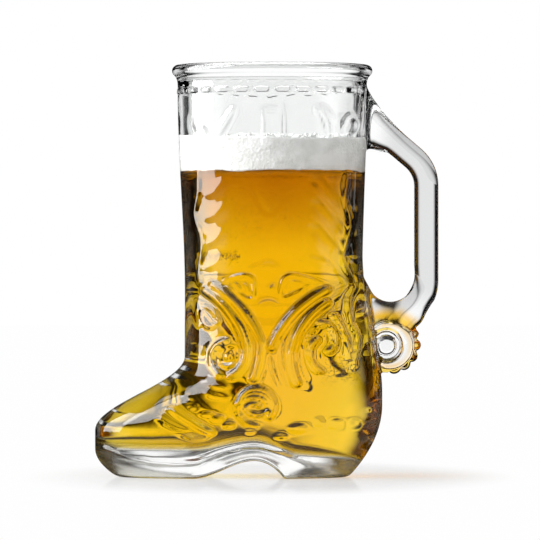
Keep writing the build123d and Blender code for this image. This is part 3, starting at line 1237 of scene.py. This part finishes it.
@dataclass(frozen=True)
class HandleForm:
    """Bar, web and spur at the back of the boot, in millimetres from the shaft's axis."""

    reach: float
    bar_diameter: float = 9.5
    grip_top_drop: float = 40.4
    grip_length: float = 49.6
    bend_radius: float = 14.0
    root_drop: float = 20.7
    root_flare_height: float = 6.0
    root_flare_width: float = 1.5
    root_flare_length: float = 13.0
    root_lean_start: float = 5.2
    root_least_slope: float = 0.5
    root_depth: float = 2.0
    web_thickness: float = 7.5
    web_overlap: float = 1.0
    web_squareness: float = 3.5
    gap_drop: float = 2.0
    spur_reach: float = 45.5
    spur_drop: float = 19.0
    spur_radius: float = 8.8
    spur_thickness: float = 8.5
    spur_shoulder: float = 0.6
    spur_relief: float = 1.9
    boss_shift: float = 1.2
    boss_edge: Span = (2.8, 3.8)
    dish_edge: Span = (5.3, 7.0)
    dish_depth: float = 1.0
    rowel_count: int = 6
    rowel_pitch: float = 26.0
    rowel_arm_gap: float = 16.0
    rowel_reach: float = 12.7
    rowel_taper: float = 0.35
    rowel_notch: float = 10.0
    rowel_thickness: float = 6.0
    rowel_edge_start: float = 0.15
    arm_foot_out: float = 1.7
    arm_foot_rise: float = 7.3
    bar_columns: int = 36
    path_step: float = 1.4
    web_rows: int = 26
    spur_columns: int = 96
    spur_face_rows: int = 30
    spur_shoulder_rows: int = 5
    spur_edge_rows: int = 9

    def corners(self, boot: BootForm) -> np.ndarray:
        """Corners of the bar's line, from its root to its foot in the spur.

        Args:
            boot: The boot that the handle grows out of.

        Returns:
            Reach and height of each corner.
        """
        top = boot.rim_height - self.grip_top_drop
        root = np.array([boot.neck_radius, boot.rim_height - self.root_drop])
        grip_top = np.array([self.reach - self.bar_diameter / 2, top])
        inward = (root - grip_top) / (grip_top[0] - root[0])
        grip_foot = grip_top - [0, self.grip_length]
        foot = self.spur_centre(boot) + [self.arm_foot_out, self.arm_foot_rise]
        return np.array([root + self.root_depth * inward, grip_top, grip_foot, foot])

    def spur_centre(self, boot: BootForm) -> np.ndarray:
        """Centre of the spur."""
        height = boot.rim_height - self.grip_top_drop - self.grip_length - self.spur_drop
        return np.array([self.spur_reach, height])

    def spur_place(self, boot: BootForm) -> Place:
        """Centre of the spur in the part's own frame, in metres."""
        out, up = self.spur_centre(boot)
        return ((boot.shaft_x + out) * MM, 0.0, up * MM)

    def straight(self, start: np.ndarray, end: np.ndarray) -> list[np.ndarray]:
        """Points from a start, which is left out, to an end."""
        count = max(2, int(np.linalg.norm(end - start) / self.path_step))
        return [start + (end - start) * step / count for step in range(1, count + 1)]

    def bend(self, corner: np.ndarray, arrive: np.ndarray, leave: np.ndarray) -> list[np.ndarray]:
        """Points round a bend at a corner, for a line that arrives one way and leaves another.

        Args:
            corner: Corner to round.
            arrive: Direction into it.
            leave: Direction out of it.

        Returns:
            The points, with both ends of the bend.
        """
        turn = math.acos(float(arrive @ leave))
        start = corner - self.bend_radius * math.tan(turn / 2) * arrive
        aside = unit(leave - arrive * float(arrive @ leave))
        steps = max(3, int(self.bend_radius * turn / self.path_step))
        angles = [turn * step / steps for step in range(steps + 1)]
        ways = [math.sin(angle) * arrive + (1 - math.cos(angle)) * aside for angle in angles]
        return [start + self.bend_radius * way for way in ways]

    def path(self, boot: BootForm) -> tuple[np.ndarray, np.ndarray]:
        """Line of the bar with rounded bends.

        Args:
            boot: The boot that the bar grows out of.

        Returns:
            Points of the line and its directions there.
        """
        corners = self.corners(boot)
        ways = unit(np.diff(corners, axis=0))
        points = [corners[0]]
        for corner, arrive, leave in zip(corners[1:], ways, ways[1:]):
            bend = self.bend(corner, arrive, leave)
            points += self.straight(points[-1], bend[0]) + bend[1:]
        points += self.straight(points[-1], corners[-1])
        return np.array(points), unit(np.gradient(np.array(points), axis=0))

    def bar(self, boot: BootForm) -> np.ndarray:
        """Places of the bar's skin, closed at both ends.

        Args:
            boot: The boot that the handle grows out of.

        Returns:
            Rows of the skin.
        """
        line, headings = self.path(boot)
        turn = full_turn(self.bar_columns)
        on_root = np.arange(len(line)) < len(line) // 3
        out = np.where(on_root, line[:, 0] - boot.neck_radius, self.root_flare_length)
        flare = drawn_in(out, 1.0, self.root_flare_length)
        radius = self.bar_diameter / 2
        up = np.array([0.0, 1.0])
        across = np.stack([-headings[:, 1], headings[:, 0]], axis=-1)
        upright = up / np.maximum(headings[:, :1], self.root_least_slope)
        lean = ease(out, self.root_lean_start, self.root_flare_length)[:, None]
        way = across * lean + upright * (1 - lean)
        reach = way * radius + up * (flare * self.root_flare_height)[:, None]
        wide = radius + flare * self.root_flare_width
        x = line[:, :1] + reach[:, :1] * np.cos(turn)
        z = line[:, 1:] + reach[:, 1:] * np.cos(turn)
        y = wide[:, None] * np.sin(turn)
        return end_capped(np.stack([x, y, z], axis=-1))

    def web(self, boot: BootForm) -> np.ndarray:
        """Places of the web between the wall, the bar and the spur.

        Args:
            boot: The boot that the handle grows out of.

        Returns:
            Rows of the skin.
        """
        grip_x, bottom = self.corners(boot)[2]
        wall_x = float(boot.back(np.array(bottom)))
        radius = (grip_x - self.bar_diameter / 2 - wall_x) / 2
        x = np.linspace(wall_x - boot.wall / 2, grip_x - self.web_overlap, self.web_rows)
        dip = np.sqrt(np.clip(radius**2 - (x - wall_x - radius) ** 2, 0, None))
        top = bottom - self.gap_drop + radius - dip
        arm = self.arm_foot_rise * ease(x, self.spur_reach, grip_x)
        foot = self.spur_centre(boot)[1] + arm + self.web_overlap
        turn = full_turn(self.bar_columns)
        waves = np.array([np.sin(turn), np.cos(turn)])
        upright, level = np.sign(waves) * np.abs(waves) ** (2 / self.web_squareness)
        z = (top + foot)[:, None] / 2 + (top - foot)[:, None] / 2 * upright
        y = np.broadcast_to(self.web_thickness / 2 * level, z.shape)
        return end_capped(np.stack([np.broadcast_to(x[:, None], z.shape), y, z], axis=-1))

    def rowel(self, boot: BootForm, turn: np.ndarray) -> np.ndarray:
        """Reach of the spur's edge at each angle, with round bumps below the handle.

        Args:
            boot: The boot that the handle grows out of.
            turn: Angles about the spur's centre.

        Returns:
            Reach at each angle.
        """
        corners = self.corners(boot)
        arm = corners[2] - corners[3]
        first = math.atan2(arm[1], arm[0]) - math.radians(self.rowel_arm_gap)
        pitch = math.radians(self.rowel_pitch)
        reach = np.full_like(turn, self.rowel_notch)
        for number in range(self.rowel_count):
            offset = (turn - first + number * pitch + np.pi) % (2 * np.pi) - np.pi
            bump = np.sqrt(np.clip(np.cos(np.pi * np.clip(offset / pitch, -0.5, 0.5)), 0, None))
            height = self.rowel_reach - number * self.rowel_taper - self.rowel_notch
            reach = np.maximum(reach, self.rowel_notch + height * bump)
        return reach

    def spur(self, boot: BootForm) -> np.ndarray:
        """Places of the spur's skin, from the middle of one face round to that of the other.

        Args:
            boot: The boot that the handle grows out of.

        Returns:
            Rows of the skin.
        """
        turn = full_turn(self.spur_columns)
        even = np.ones_like(turn)
        base, rim = self.spur_thickness / 2 - self.dish_depth, self.rowel_thickness / 2
        crest, start = base + self.spur_relief, self.spur_radius + self.spur_shoulder
        rows = []
        for radius in np.linspace(0, self.spur_radius, self.spur_face_rows):
            out = np.hypot(radius * np.cos(turn) + self.boss_shift, radius * np.sin(turn))
            rise = np.maximum(ease(out, *self.dish_edge), 1 - ease(out, *self.boss_edge))
            rows.append((radius * even, base + self.spur_relief * rise))
        for share in np.linspace(0, 1, self.spur_shoulder_rows + 1)[1:]:
            radius = self.spur_radius + self.spur_shoulder * share
            rows.append((radius * even, (crest + (rim - crest) * share) * even))
        edge = self.rowel(boot, turn) - start
        for angle in np.linspace(self.rowel_edge_start, np.pi / 2, self.spur_edge_rows):
            rows.append((start + edge * math.sin(angle), rim * math.cos(angle) * even))
        centre = self.spur_centre(boot)
        radii, levels = (np.array(side) for side in zip(*rows))
        x, z = centre[0] + radii * np.cos(turn), centre[1] + radii * np.sin(turn)
        near, far = np.stack([x, -levels, z], axis=-1), np.stack([x, levels, z], axis=-1)
        return np.concatenate([near, far[-2::-1]])


@dataclass
class BootGlass:
    """The clear glass: the boot with its scrollwork, the handle and the spur, fused into one."""

    form: BootForm
    handle: HandleForm
    finish: GlassFinish
    ornament: tuple[Stroke | Boss, ...] = SCROLLWORK
    stitching: Stitching = field(default_factory=Stitching)
    far_share: float = 0.6
    columns: int = 256
    side_crowding: float = 0.3
    low_height: float = 15.0
    low_rows: int = 18
    wall_steps: tuple[tuple[float, int], ...] = ((80.0, 124), (118.0, 46), (148.2, 34), (150.0, 9))
    lip_rows: int = 14
    stitched_lip_rows: int = 12
    bead_rows: int = 17
    mouth_rows: int = 6
    lip_crowding: float = 1.4
    hollow_rows: int = 36
    sole_rows: int = 20
    sole_crowding: float = 0.8
    floor_rows: int = 12
    floor_edge_rows: int = 6
    edge_round: float = 1.5
    edge_rows: int = 5
    edge_end: float = 0.1
    sole_middle: Point = (-12.0, 0.0)
    floor_middle: Point = (-10.0, 0.0)
    settling_passes: int = 20
    seam_rings: int = 3
    seam_passes: int = 12

    def turns(self) -> np.ndarray:
        """Angles of the columns, closer together on the two sides."""
        even = full_turn(self.columns)
        return even + self.side_crowding * np.sin(2 * even)

    def settled(self, foot: np.ndarray, height: Callable[[np.ndarray], np.ndarray]) -> np.ndarray:
        """Heights at which each column meets a surface, from a first guess.

        Args:
            foot: First guess of each height.
            height: The surface's height under each guess.

        Returns:
            The heights.
        """
        for _ in range(self.settling_passes):
            foot = height(foot)
        return foot

    def sole(self, turn: np.ndarray) -> tuple[np.ndarray, np.ndarray]:
        """Rows of the underside and its rounded edge.

        Args:
            turn: Angles of the columns.

        Returns:
            The rows from the middle outwards, and the height of the edge in each column.
        """
        form = self.form
        edge = self.settled(np.zeros_like(turn), lambda height: form.arch(form.outside(height, turn)[:, 0]))
        rows = []
        for angle in np.linspace(np.pi / 2, self.edge_end, self.edge_rows):
            lift = self.edge_round * (1 - math.sin(angle))
            wall = form.outside(edge + lift, turn)[:, :2]
            level = wall + unit(self.sole_middle - wall) * self.edge_round * (1 - math.cos(angle))
            rows.append(np.column_stack([level, form.arch(level[:, 0]) + lift]))
        shares = np.linspace(0, 1, self.sole_rows, endpoint=False) ** self.sole_crowding
        flat = spokes(np.array(self.sole_middle), rows[0][:, :2], shares)
        return np.concatenate([np.dstack([flat, form.arch(flat[..., 0])]), rows]), edge

    def lip(self, turn: np.ndarray) -> np.ndarray:
        """Rows of the lip and its bead, from the outside of the neck to the inside.

        Args:
            turn: Angles of the columns.

        Returns:
            The rows.
        """
        form = self.form
        bead = np.array([form.rim_radius - form.rim_bead_radius, form.rim_height - form.rim_bead_radius])
        start = math.radians(form.bead_start_angle)
        angles = np.linspace(start, math.pi, self.bead_rows + 1)[:, None]
        bead = bead + form.rim_bead_radius * np.hstack([np.cos(angles), np.sin(angles)])
        neck = np.array([form.neck_radius, form.neck_height])
        onto = np.array([-math.sin(start), math.cos(start)])
        up = np.array([0.0, 1.0])
        lip = self.profile(neck, up, bead[0], onto, self.lip_rows)
        mouth = self.profile(bead[-1], -up, neck - [form.wall, 0], -up, self.mouth_rows)
        radius, height = np.concatenate([lip, bead[1:], mouth]).T[..., None]
        return np.stack(np.broadcast_arrays(radius * np.cos(turn), radius * np.sin(turn), height), axis=-1)

    def profile(
        self,
        start: np.ndarray,
        leave: np.ndarray,
        end: np.ndarray,
        arrive: np.ndarray,
        rows: int,
    ) -> np.ndarray:
        """Points of a smooth profile, closer together at its start.

        Args:
            start: Where the profile begins, which is left out.
            leave: Direction there.
            end: Where the profile ends.
            arrive: Direction there.
            rows: Number of points.

        Returns:
            The points.
        """
        share = np.linspace(0, 1, rows + 1)[1:, None] ** self.lip_crowding
        length = np.linalg.norm(end - start)
        return swept(start, leave * length, end, arrive * length, share)

    def inside(self, turn: np.ndarray, top: float, push: float) -> np.ndarray:
        """Rows of the hollow from a level down to the middle of its floor.

        Args:
            turn: Angles of the columns.
            top: Level where the rows begin.
            push: How far the rows lie outside the hollow's wall.

        Returns:
            The rows.
        """
        form = self.form
        foot = self.settled(
            np.full_like(turn, form.toe_floor + form.floor_round),
            lambda height: form.floor(form.hollow(height, turn, push)[:, 0]) + form.floor_round,
        )
        shares = np.linspace(0, 1, self.hollow_rows)
        rows = [form.hollow(top + (foot - top) * share, turn, push) for share in shares]
        wall = rows[-1][:, :2]
        inward = unit(self.floor_middle - wall)
        for angle in np.linspace(0, np.pi / 2, self.floor_edge_rows + 1)[1:]:
            level = wall + inward * form.floor_round * (1 - math.cos(angle))
            lift = form.floor_round * (1 - math.sin(angle)) - push
            rows.append(np.column_stack([level, form.floor(level[:, 0]) + lift]))
        shares = np.linspace(1, 0, self.floor_rows + 1)[1:]
        flat = spokes(np.array(self.floor_middle), rows[-1][:, :2], shares)
        return np.concatenate([rows, np.dstack([flat, form.floor(flat[..., 0]) - push])])

    @staticmethod
    def fading(facing: np.ndarray, far_share: float) -> np.ndarray:
        """1 on the near side, falling to a share on the far one."""
        return 1 - (1 - far_share) * (1 + facing) / 2

    def carve(self, places: np.ndarray, turn: np.ndarray, rows: slice) -> np.ndarray:
        """Raise the scrollwork and the stitches out of the outside.

        The far side's relief is shallower, so that it doesn't muddle the near side's through the glass.

        Args:
            places: Rows of the whole glass.
            turn: Angles of the columns.
            rows: The rows of the outside, which the ornament is on.

        Returns:
            The rows with the ornament.
        """
        along = np.roll(places, -1, axis=1) - np.roll(places, 1, axis=1)
        normal = unit(np.cross(along, np.gradient(places, axis=0))[rows])
        x, _, z = np.moveaxis(places[rows], -1, 0)
        raised = np.zeros_like(x)
        for motif in self.ornament:
            raised = np.maximum(raised, motif.relief(x, z))
        facing = normal[..., 1]
        raised = raised * facing**2 * self.fading(facing, self.far_share)
        for axis in (0, 1):
            raised = raised / 2 + (np.roll(raised, 1, axis) + np.roll(raised, -1, axis)) / 4
        stitching = self.stitching
        stitches = stitching.relief(np.broadcast_to(turn, x.shape), z, self.form.neck_radius)
        stitches = stitches * (stitching.turned_share + (1 - stitching.turned_share) * facing**2)
        raised = np.maximum(raised, stitches * self.fading(facing, stitching.far_share))
        carved = places.copy()
        carved[rows] += normal * raised[..., None]
        return carved

    def places(self) -> np.ndarray:
        """Rows of the whole glass, from under the sole over the lip to the middle of the floor.

        Returns:
            The rows, from the shaft's axis.
        """
        turn = self.turns()
        sole, edge = self.sole(turn)
        start = edge + self.edge_round
        shares = np.linspace(0, 1, self.low_rows, endpoint=False)
        heights = [start + (self.low_height - start) * share for share in shares]
        levels = [self.low_height]
        for height, count in self.wall_steps:
            levels += list(np.linspace(levels[-1], height, count + 1)[1:])
        heights += [np.full_like(turn, level) for level in levels]
        wall = [self.form.outside(height, turn) for height in heights]
        hollow = self.inside(turn, self.form.neck_height, 0.0)
        whole = np.concatenate([sole, wall, self.lip(turn), hollow[1:]])
        return self.carve(whole, turn, slice(len(sole), len(sole) + len(wall) + self.stitched_lip_rows))

    def build(self) -> bpy.types.Object:
        """Build the glass and fuse the handle and the spur to it.

        Returns:
            The closed piece.
        """
        glass = Skin.lay("boot_glass", self.form.placed(self.places()))
        others = [
            Skin.lay("bar", self.form.placed(self.handle.bar(self.form))),
            Skin.lay("web", self.form.placed(self.handle.web(self.form))),
            Skin.lay("spur_disc", self.form.placed(self.handle.spur(self.form))),
        ]
        Skin.unite(glass, others)
        Skin.soften_seams(glass, self.seam_rings, self.seam_passes)
        return glass

    def dress(self, glass: bpy.types.Object) -> None:
        """Give the glass its finish and its place in the frame.

        Args:
            glass: The built piece.
        """
        glass.data.materials.clear()
        glass.data.materials.append(self.finish.make())
        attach(glass, BODY)
        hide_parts("boot_body", "handle", "spur")


@dataclass(frozen=True)
class BubbleGroup:
    """Bubbles that cling to one stretch of the wall, with angles in degrees and sizes in millimetres."""

    count: int
    middle: float
    spread: float
    height: float
    rise: float
    radii: Span


@dataclass
class Fill:
    """What is in the boot: the beer, the head of foam and the bubbles."""

    glass: BootGlass
    beer_level: float
    foam_level: float
    beer_finish: BeerFinish
    foam_finish: FoamFinish
    bubble_finish: BubbleFinish
    wetting: float = 0.12
    foam_wetting: float = 0.168
    beer_rise: float = 0.3
    beer_top_rows: int = 6
    seed: int = 11
    foam_rows: int = 22
    foam_top_rows: int = 30
    foam_under_rows: int = 8
    foam_crown: float = 0.6
    foam_sink: float = 0.2
    foam_swell: float = 1.0
    swell_waves: tuple[int, ...] = (1, 2, 3, 5, 8, 13)
    swell_shares: Span = (0.3, 1.0)
    foam_dip: float = 0.5
    dip_waves: tuple[int, ...] = (3, 7, 11, 17)
    last_phase: float = 6.3
    lump_count: int = 140
    lump_reach: float = 30.0
    lump_radii: Span = (0.8, 2.6)
    lump_rise: float = 0.45
    lump_fade: float = 5.0
    froth_count: int = 260
    froth_radii: Span = (0.4, 1.7)
    froth_scatter: float = 0.9
    froth_gap: float = 0.05
    froth_reach: float = 6.0
    bubble_gap: float = 0.12
    bubble_depth: float = 0.6
    bubble_groups: tuple[BubbleGroup, ...] = (
        BubbleGroup(330, -131.0, 18.0, 85.6, 1.02, (0.1, 0.2)),
        BubbleGroup(120, 180.0, 45.0, 85.3, 0.72, (0.1, 0.22)),
        BubbleGroup(260, -102.0, 26.0, 101.0, 5.4, (0.09, 0.17)),
        BubbleGroup(300, -42.0, 17.0, 41.5, 2.7, (0.1, 0.22)),
        BubbleGroup(160, 0.0, 180.0, 117.7, 0.42, (0.1, 0.24)),
        BubbleGroup(80, 90.0, 40.0, 60.0, 15.0, (0.1, 0.22)),
    )

    @staticmethod
    def cap(ring: np.ndarray, count: int, lift: float = 0.0) -> np.ndarray:
        """Rows from a level ring to its middle, raised at the middle by a lift.

        Args:
            ring: Level ring of points.
            count: Number of rows.
            lift: Rise of the middle.

        Returns:
            The rows.
        """
        shares = np.linspace(1, 0, count + 1)[1:]
        rows = spokes(ring.mean(axis=0), ring, shares)
        rows[..., 2] += lift * (1 - shares[:, None] ** 2)
        return rows

    def beer(self) -> bpy.types.Object:
        """Beer up to the foam.

        Returns:
            The closed piece.
        """
        rows = self.glass.inside(self.glass.turns()[::2], self.beer_level + self.beer_rise, self.wetting)
        top = self.cap(rows[0], self.beer_top_rows)[::-1]
        return Skin.lay("beer_fill", self.glass.form.placed(np.concatenate([top, rows])))

    def foam(self) -> bpy.types.Object:
        """Head of foam with a lumpy top.

        Returns:
            The closed piece.
        """
        form, turn = self.glass.form, self.glass.turns()
        draw = np.random.default_rng(self.seed)
        swell = sum(
            draw.uniform(*self.swell_shares) / number * self.wave(turn, number, draw)
            for number in self.swell_waves
        )
        dip = sum(self.wave(turn, number, draw) / math.sqrt(number) for number in self.dip_waves)
        top = self.foam_level - self.foam_crown + self.foam_swell * swell / np.abs(swell).max()
        low = self.beer_level - self.foam_sink - self.foam_dip * np.clip(dip, 0, None)
        shares = np.linspace(0, 1, self.foam_rows)
        side = [form.hollow(low + (top - low) * share, turn, self.foam_wetting) for share in shares]
        lid = self.cap(side[-1], self.foam_top_rows, self.foam_crown)
        lid[..., 2] += self.lumps(lid, draw)
        under = self.cap(side[0], self.foam_under_rows)[::-1]
        return Skin.lay("foam_crown", form.placed(np.concatenate([under, side, lid])))

    def wave(self, turn: np.ndarray, number: int, draw: np.random.Generator) -> np.ndarray:
        """Wave with this many crests round the foam, turned by chance."""
        return np.cos(number * (turn - draw.uniform(0, self.last_phase)))

    def lumps(self, lid: np.ndarray, draw: np.random.Generator) -> np.ndarray:
        """Rise of the lumps on the foam's top, which fade out at its edge and middle.

        Args:
            lid: Rows of the foam's top, from its edge to its middle.
            draw: Seeded source of chance.

        Returns:
            Rise at each place.
        """
        rise = np.zeros(lid.shape[:2])
        for _ in range(self.lump_count):
            centre = draw.uniform(-self.lump_reach, self.lump_reach, 2)
            radius = draw.uniform(*self.lump_radii)
            gap = np.hypot(lid[..., 0] - centre[0], lid[..., 1] - centre[1]) / radius
            rise = np.maximum(rise, self.lump_rise * radius * np.sqrt(np.clip(1 - gap**2, 0, None)))
        share = np.linspace(0, 1, len(lid))[:, None]
        return rise * np.minimum(1, self.lump_fade * share) * np.minimum(1, self.lump_fade * (1 - share))

    def clinging(self, level: np.ndarray, turn: np.ndarray, gap: np.ndarray) -> np.ndarray:
        """Places at a gap from the hollow's wall, towards the shaft's axis.

        Args:
            level: Heights of the places.
            turn: Angles about the shaft.
            gap: Gaps from the wall.

        Returns:
            Places, from the shaft's axis.
        """
        wall = self.glass.form.hollow(level, turn)
        wall[:, :2] += unit(AXIS - wall[:, :2]) * gap[:, None]
        return wall

    def bubbles(self) -> bpy.types.Object:
        """Bubbles on the wall of the beer.

        Returns:
            The piece that holds them all.
        """
        draw = np.random.default_rng(self.seed + 1)
        centres, radii = [], []
        for group in self.bubble_groups:
            turn = np.radians(group.middle + group.spread * draw.uniform(-1, 1, group.count))
            level = group.height + group.rise * draw.normal(0, 1, group.count)
            level = np.minimum(level, self.beer_level - self.bubble_depth)
            radius = draw.uniform(*group.radii, group.count)
            centres.append(self.clinging(level, turn, radius + self.bubble_gap))
            radii.append(radius)
        places = self.glass.form.placed(np.concatenate(centres))
        return Skin.copies("beer_bubbles", self.bead(), places, np.concatenate(radii))

    def froth(self) -> bpy.types.Object:
        """Larger bubbles round the top of the foam.

        Returns:
            The piece that holds them all.
        """
        draw = np.random.default_rng(self.seed + 2)
        least, most = self.froth_radii
        turn = draw.uniform(0, 2 * np.pi, self.froth_count)
        radius = least + (most - least) * draw.random(self.froth_count) ** 2
        scatter = draw.uniform(-self.froth_scatter, self.froth_scatter, self.froth_count)
        gap = radius + self.froth_gap + self.froth_reach * draw.random(self.froth_count) ** 3
        centres = self.clinging(self.foam_level - radius + scatter, turn, gap)
        return Skin.copies("foam_bubbles", self.bead(), self.glass.form.placed(centres), radius)

    @staticmethod
    def bead() -> bpy.types.Object:
        """One round bubble of unit radius, with few faces.

        Returns:
            The bubble.
        """
        Skin.deselect()
        bpy.ops.mesh.primitive_uv_sphere_add(segments=8, ring_count=6, radius=1.0)
        return bpy.context.active_object

    def build(self) -> dict[str, bpy.types.Object]:
        """Build every piece of the fill."""
        return {"beer": self.beer(), "foam": self.foam(), "bubbles": self.bubbles(), "froth": self.froth()}

    def dress(self, pieces: dict[str, bpy.types.Object]) -> None:
        """Give each piece its finish and its place in the frame.

        Args:
            pieces: The built pieces by name.
        """
        foam = self.foam_finish.make()
        finishes = {
            "beer": (self.beer_finish.make(), Slot.BEER),
            "foam": (foam, Slot.FOAM),
            "bubbles": (self.bubble_finish.make(), Slot.BEER),
            "froth": (foam, Slot.FOAM),
        }
        for name, piece in pieces.items():
            material, slot = finishes[name]
            piece.data.materials.clear()
            piece.data.materials.append(material)
            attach(piece, BODY)
        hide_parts("beer")
        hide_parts("foam_head")


@dataclass(frozen=True)
class Softbox:
    """Soft rectangular lamp that faces the glass."""

    name: str
    place: Place
    width: float
    height: float
    radiance: float
    mirrored: bool = True

    def build(self, target: Place) -> None:
        """Hang the lamp and aim it at the target.

        Args:
            target: Place that the lamp faces.
        """
        lamp = bpy.data.lights.new(self.name, "AREA")
        lamp.shape = "RECTANGLE"
        lamp.size = self.width
        lamp.size_y = self.height
        lamp.energy = self.radiance * math.pi * self.width * self.height
        holder = bpy.data.objects.new(self.name, lamp)
        bpy.context.scene.collection.objects.link(holder)
        x, y, z = np.array(target) - np.array(self.place)
        pitch = math.pi / 2 + math.atan2(z, math.hypot(x, y))
        holder.location = self.place
        holder.rotation_euler = (pitch, 0, math.atan2(y, x) - math.pi / 2)
        holder.visible_camera = False
        holder.visible_transmission = False
        holder.visible_glossy = self.mirrored


@dataclass
class Studio:
    """White table and background, soft lamps, and the camera level with the boot, in metres."""

    floor_finish: FloorFinish = field(default_factory=FloorFinish)
    floor_size: float = 12.0
    floor_cells: int = 8
    camera_distance: float = 2.2
    camera_x: float = 0.0011
    camera_height: float = 0.0803
    frame_width: float = 0.210
    sensor: float = 36.0
    farthest: float = 50.0
    back_window: Span = (36.0, 20.0)
    side_windows: Span = (26.0, 12.0)
    glint: Span = (8.0, 4.0)
    window_strength: float = 1.12
    dark: float = 0.008
    ambient: float = 0.6
    lamp_target: Place = (0.0, 0.0, 0.08)
    lamps: tuple[Softbox, ...] = (
        Softbox("left_softbox", (-0.85, 0.06, 0.3), 0.6, 0.9, 7.0),
        Softbox("instep_softbox", (-0.74, -0.32, 0.68), 0.5, 0.65, 8.0),
        Softbox("overhead_softbox", (-0.5, 0.2, 1.1), 0.5, 0.5, 4.0),
        Softbox("right_fill", (0.8, -1.0, 0.5), 0.8, 0.8, 3.0, mirrored=False),
    )

    def floor(self) -> None:
        """Lay the table top."""
        Skin.deselect()
        cells = self.floor_cells
        bpy.ops.mesh.primitive_grid_add(x_subdivisions=cells, y_subdivisions=cells, size=self.floor_size)
        floor = bpy.context.active_object
        floor.name = "table_top"
        floor.data.materials.append(self.floor_finish.make())

    @staticmethod
    def window(ahead: Wire, edge: Span) -> Wire:
        """Round window straight ahead, with a soft edge between two angles in degrees."""
        return ahead.step(*(math.cos(math.radians(angle)) for angle in edge))

    def world(self) -> None:
        """White for the eye, and for the glass a dark room with bright windows behind it and beside it."""
        world = bpy.data.worlds.new("World")
        bpy.context.scene.world = world
        sheet = NodeSheet(world)
        x, y, _ = sheet.apart(sheet.add("ShaderNodeTexCoord", output="Generated"))
        camera = sheet.ray("Is Camera Ray")
        through = camera.sibling("Is Transmission Ray")
        windows = self.window(y, self.back_window).larger(self.window(x.size(), self.side_windows))
        bright = self.window(y, self.glint).larger(through * windows)
        room = bright * (self.window_strength - self.dark) + self.dark
        seen = through.larger(camera.sibling("Is Glossy Ray"))
        strength = camera.larger(seen * room + (1 - seen) * self.ambient)
        sheet.finish(sheet.add("ShaderNodeBackground", None, {"Color": WHITE, "Strength": strength}))

    def camera(self) -> None:
        """Set the camera at the photograph's angle."""
        data = bpy.data.cameras.new("camera")
        data.sensor_width = self.sensor
        data.lens = self.sensor * self.camera_distance / self.frame_width
        data.clip_end = self.farthest
        camera = bpy.data.objects.new("camera", data)
        camera.location = (self.camera_x, -self.camera_distance, self.camera_height)
        camera.rotation_euler = (math.pi / 2, 0, 0)
        bpy.context.scene.collection.objects.link(camera)
        bpy.context.scene.camera = camera

    def build(self) -> None:
        """Set up the studio."""
        self.floor()
        self.world()
        for lamp in self.lamps:
            lamp.build(self.lamp_target)
        self.camera()
        bpy.context.scene.view_settings.view_transform = "Standard"


def main() -> None:
    """Build and dress the boot, then the studio round it."""
    logging.basicConfig(level=logging.INFO, format="%(name)s: %(message)s")
    boot_low, boot_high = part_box("boot_body")
    foam_low, foam_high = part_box("foam_head")
    shaft_x = (foam_low.x + foam_high.x) / 2
    form = BootForm(
        shaft_x=shaft_x / MM,
        rim_height=boot_high.z / MM,
        rim_radius=boot_high.y / MM,
        toe_reach=(shaft_x - boot_low.x) / MM,
    )
    handle = HandleForm(reach=(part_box("handle")[1].x - shaft_x) / MM)
    glass = BootGlass(form, handle, GlassFinish(handle.spur_place(form)))
    piece = glass.build()
    glass.dress(piece)
    log.info("%s: %d faces", piece.name, len(piece.data.polygons))
    fill = Fill(
        glass,
        beer_level=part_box("beer")[1].z / MM,
        foam_level=foam_high.z / MM,
        beer_finish=BeerFinish(),
        foam_finish=FoamFinish(),
        bubble_finish=BubbleFinish(),
    )
    pieces = fill.build()
    fill.dress(pieces)
    for piece in pieces.values():
        log.info("%s: %d faces", piece.name, len(piece.data.polygons))
    Studio().build()


if __name__ == "__main__":
    main()
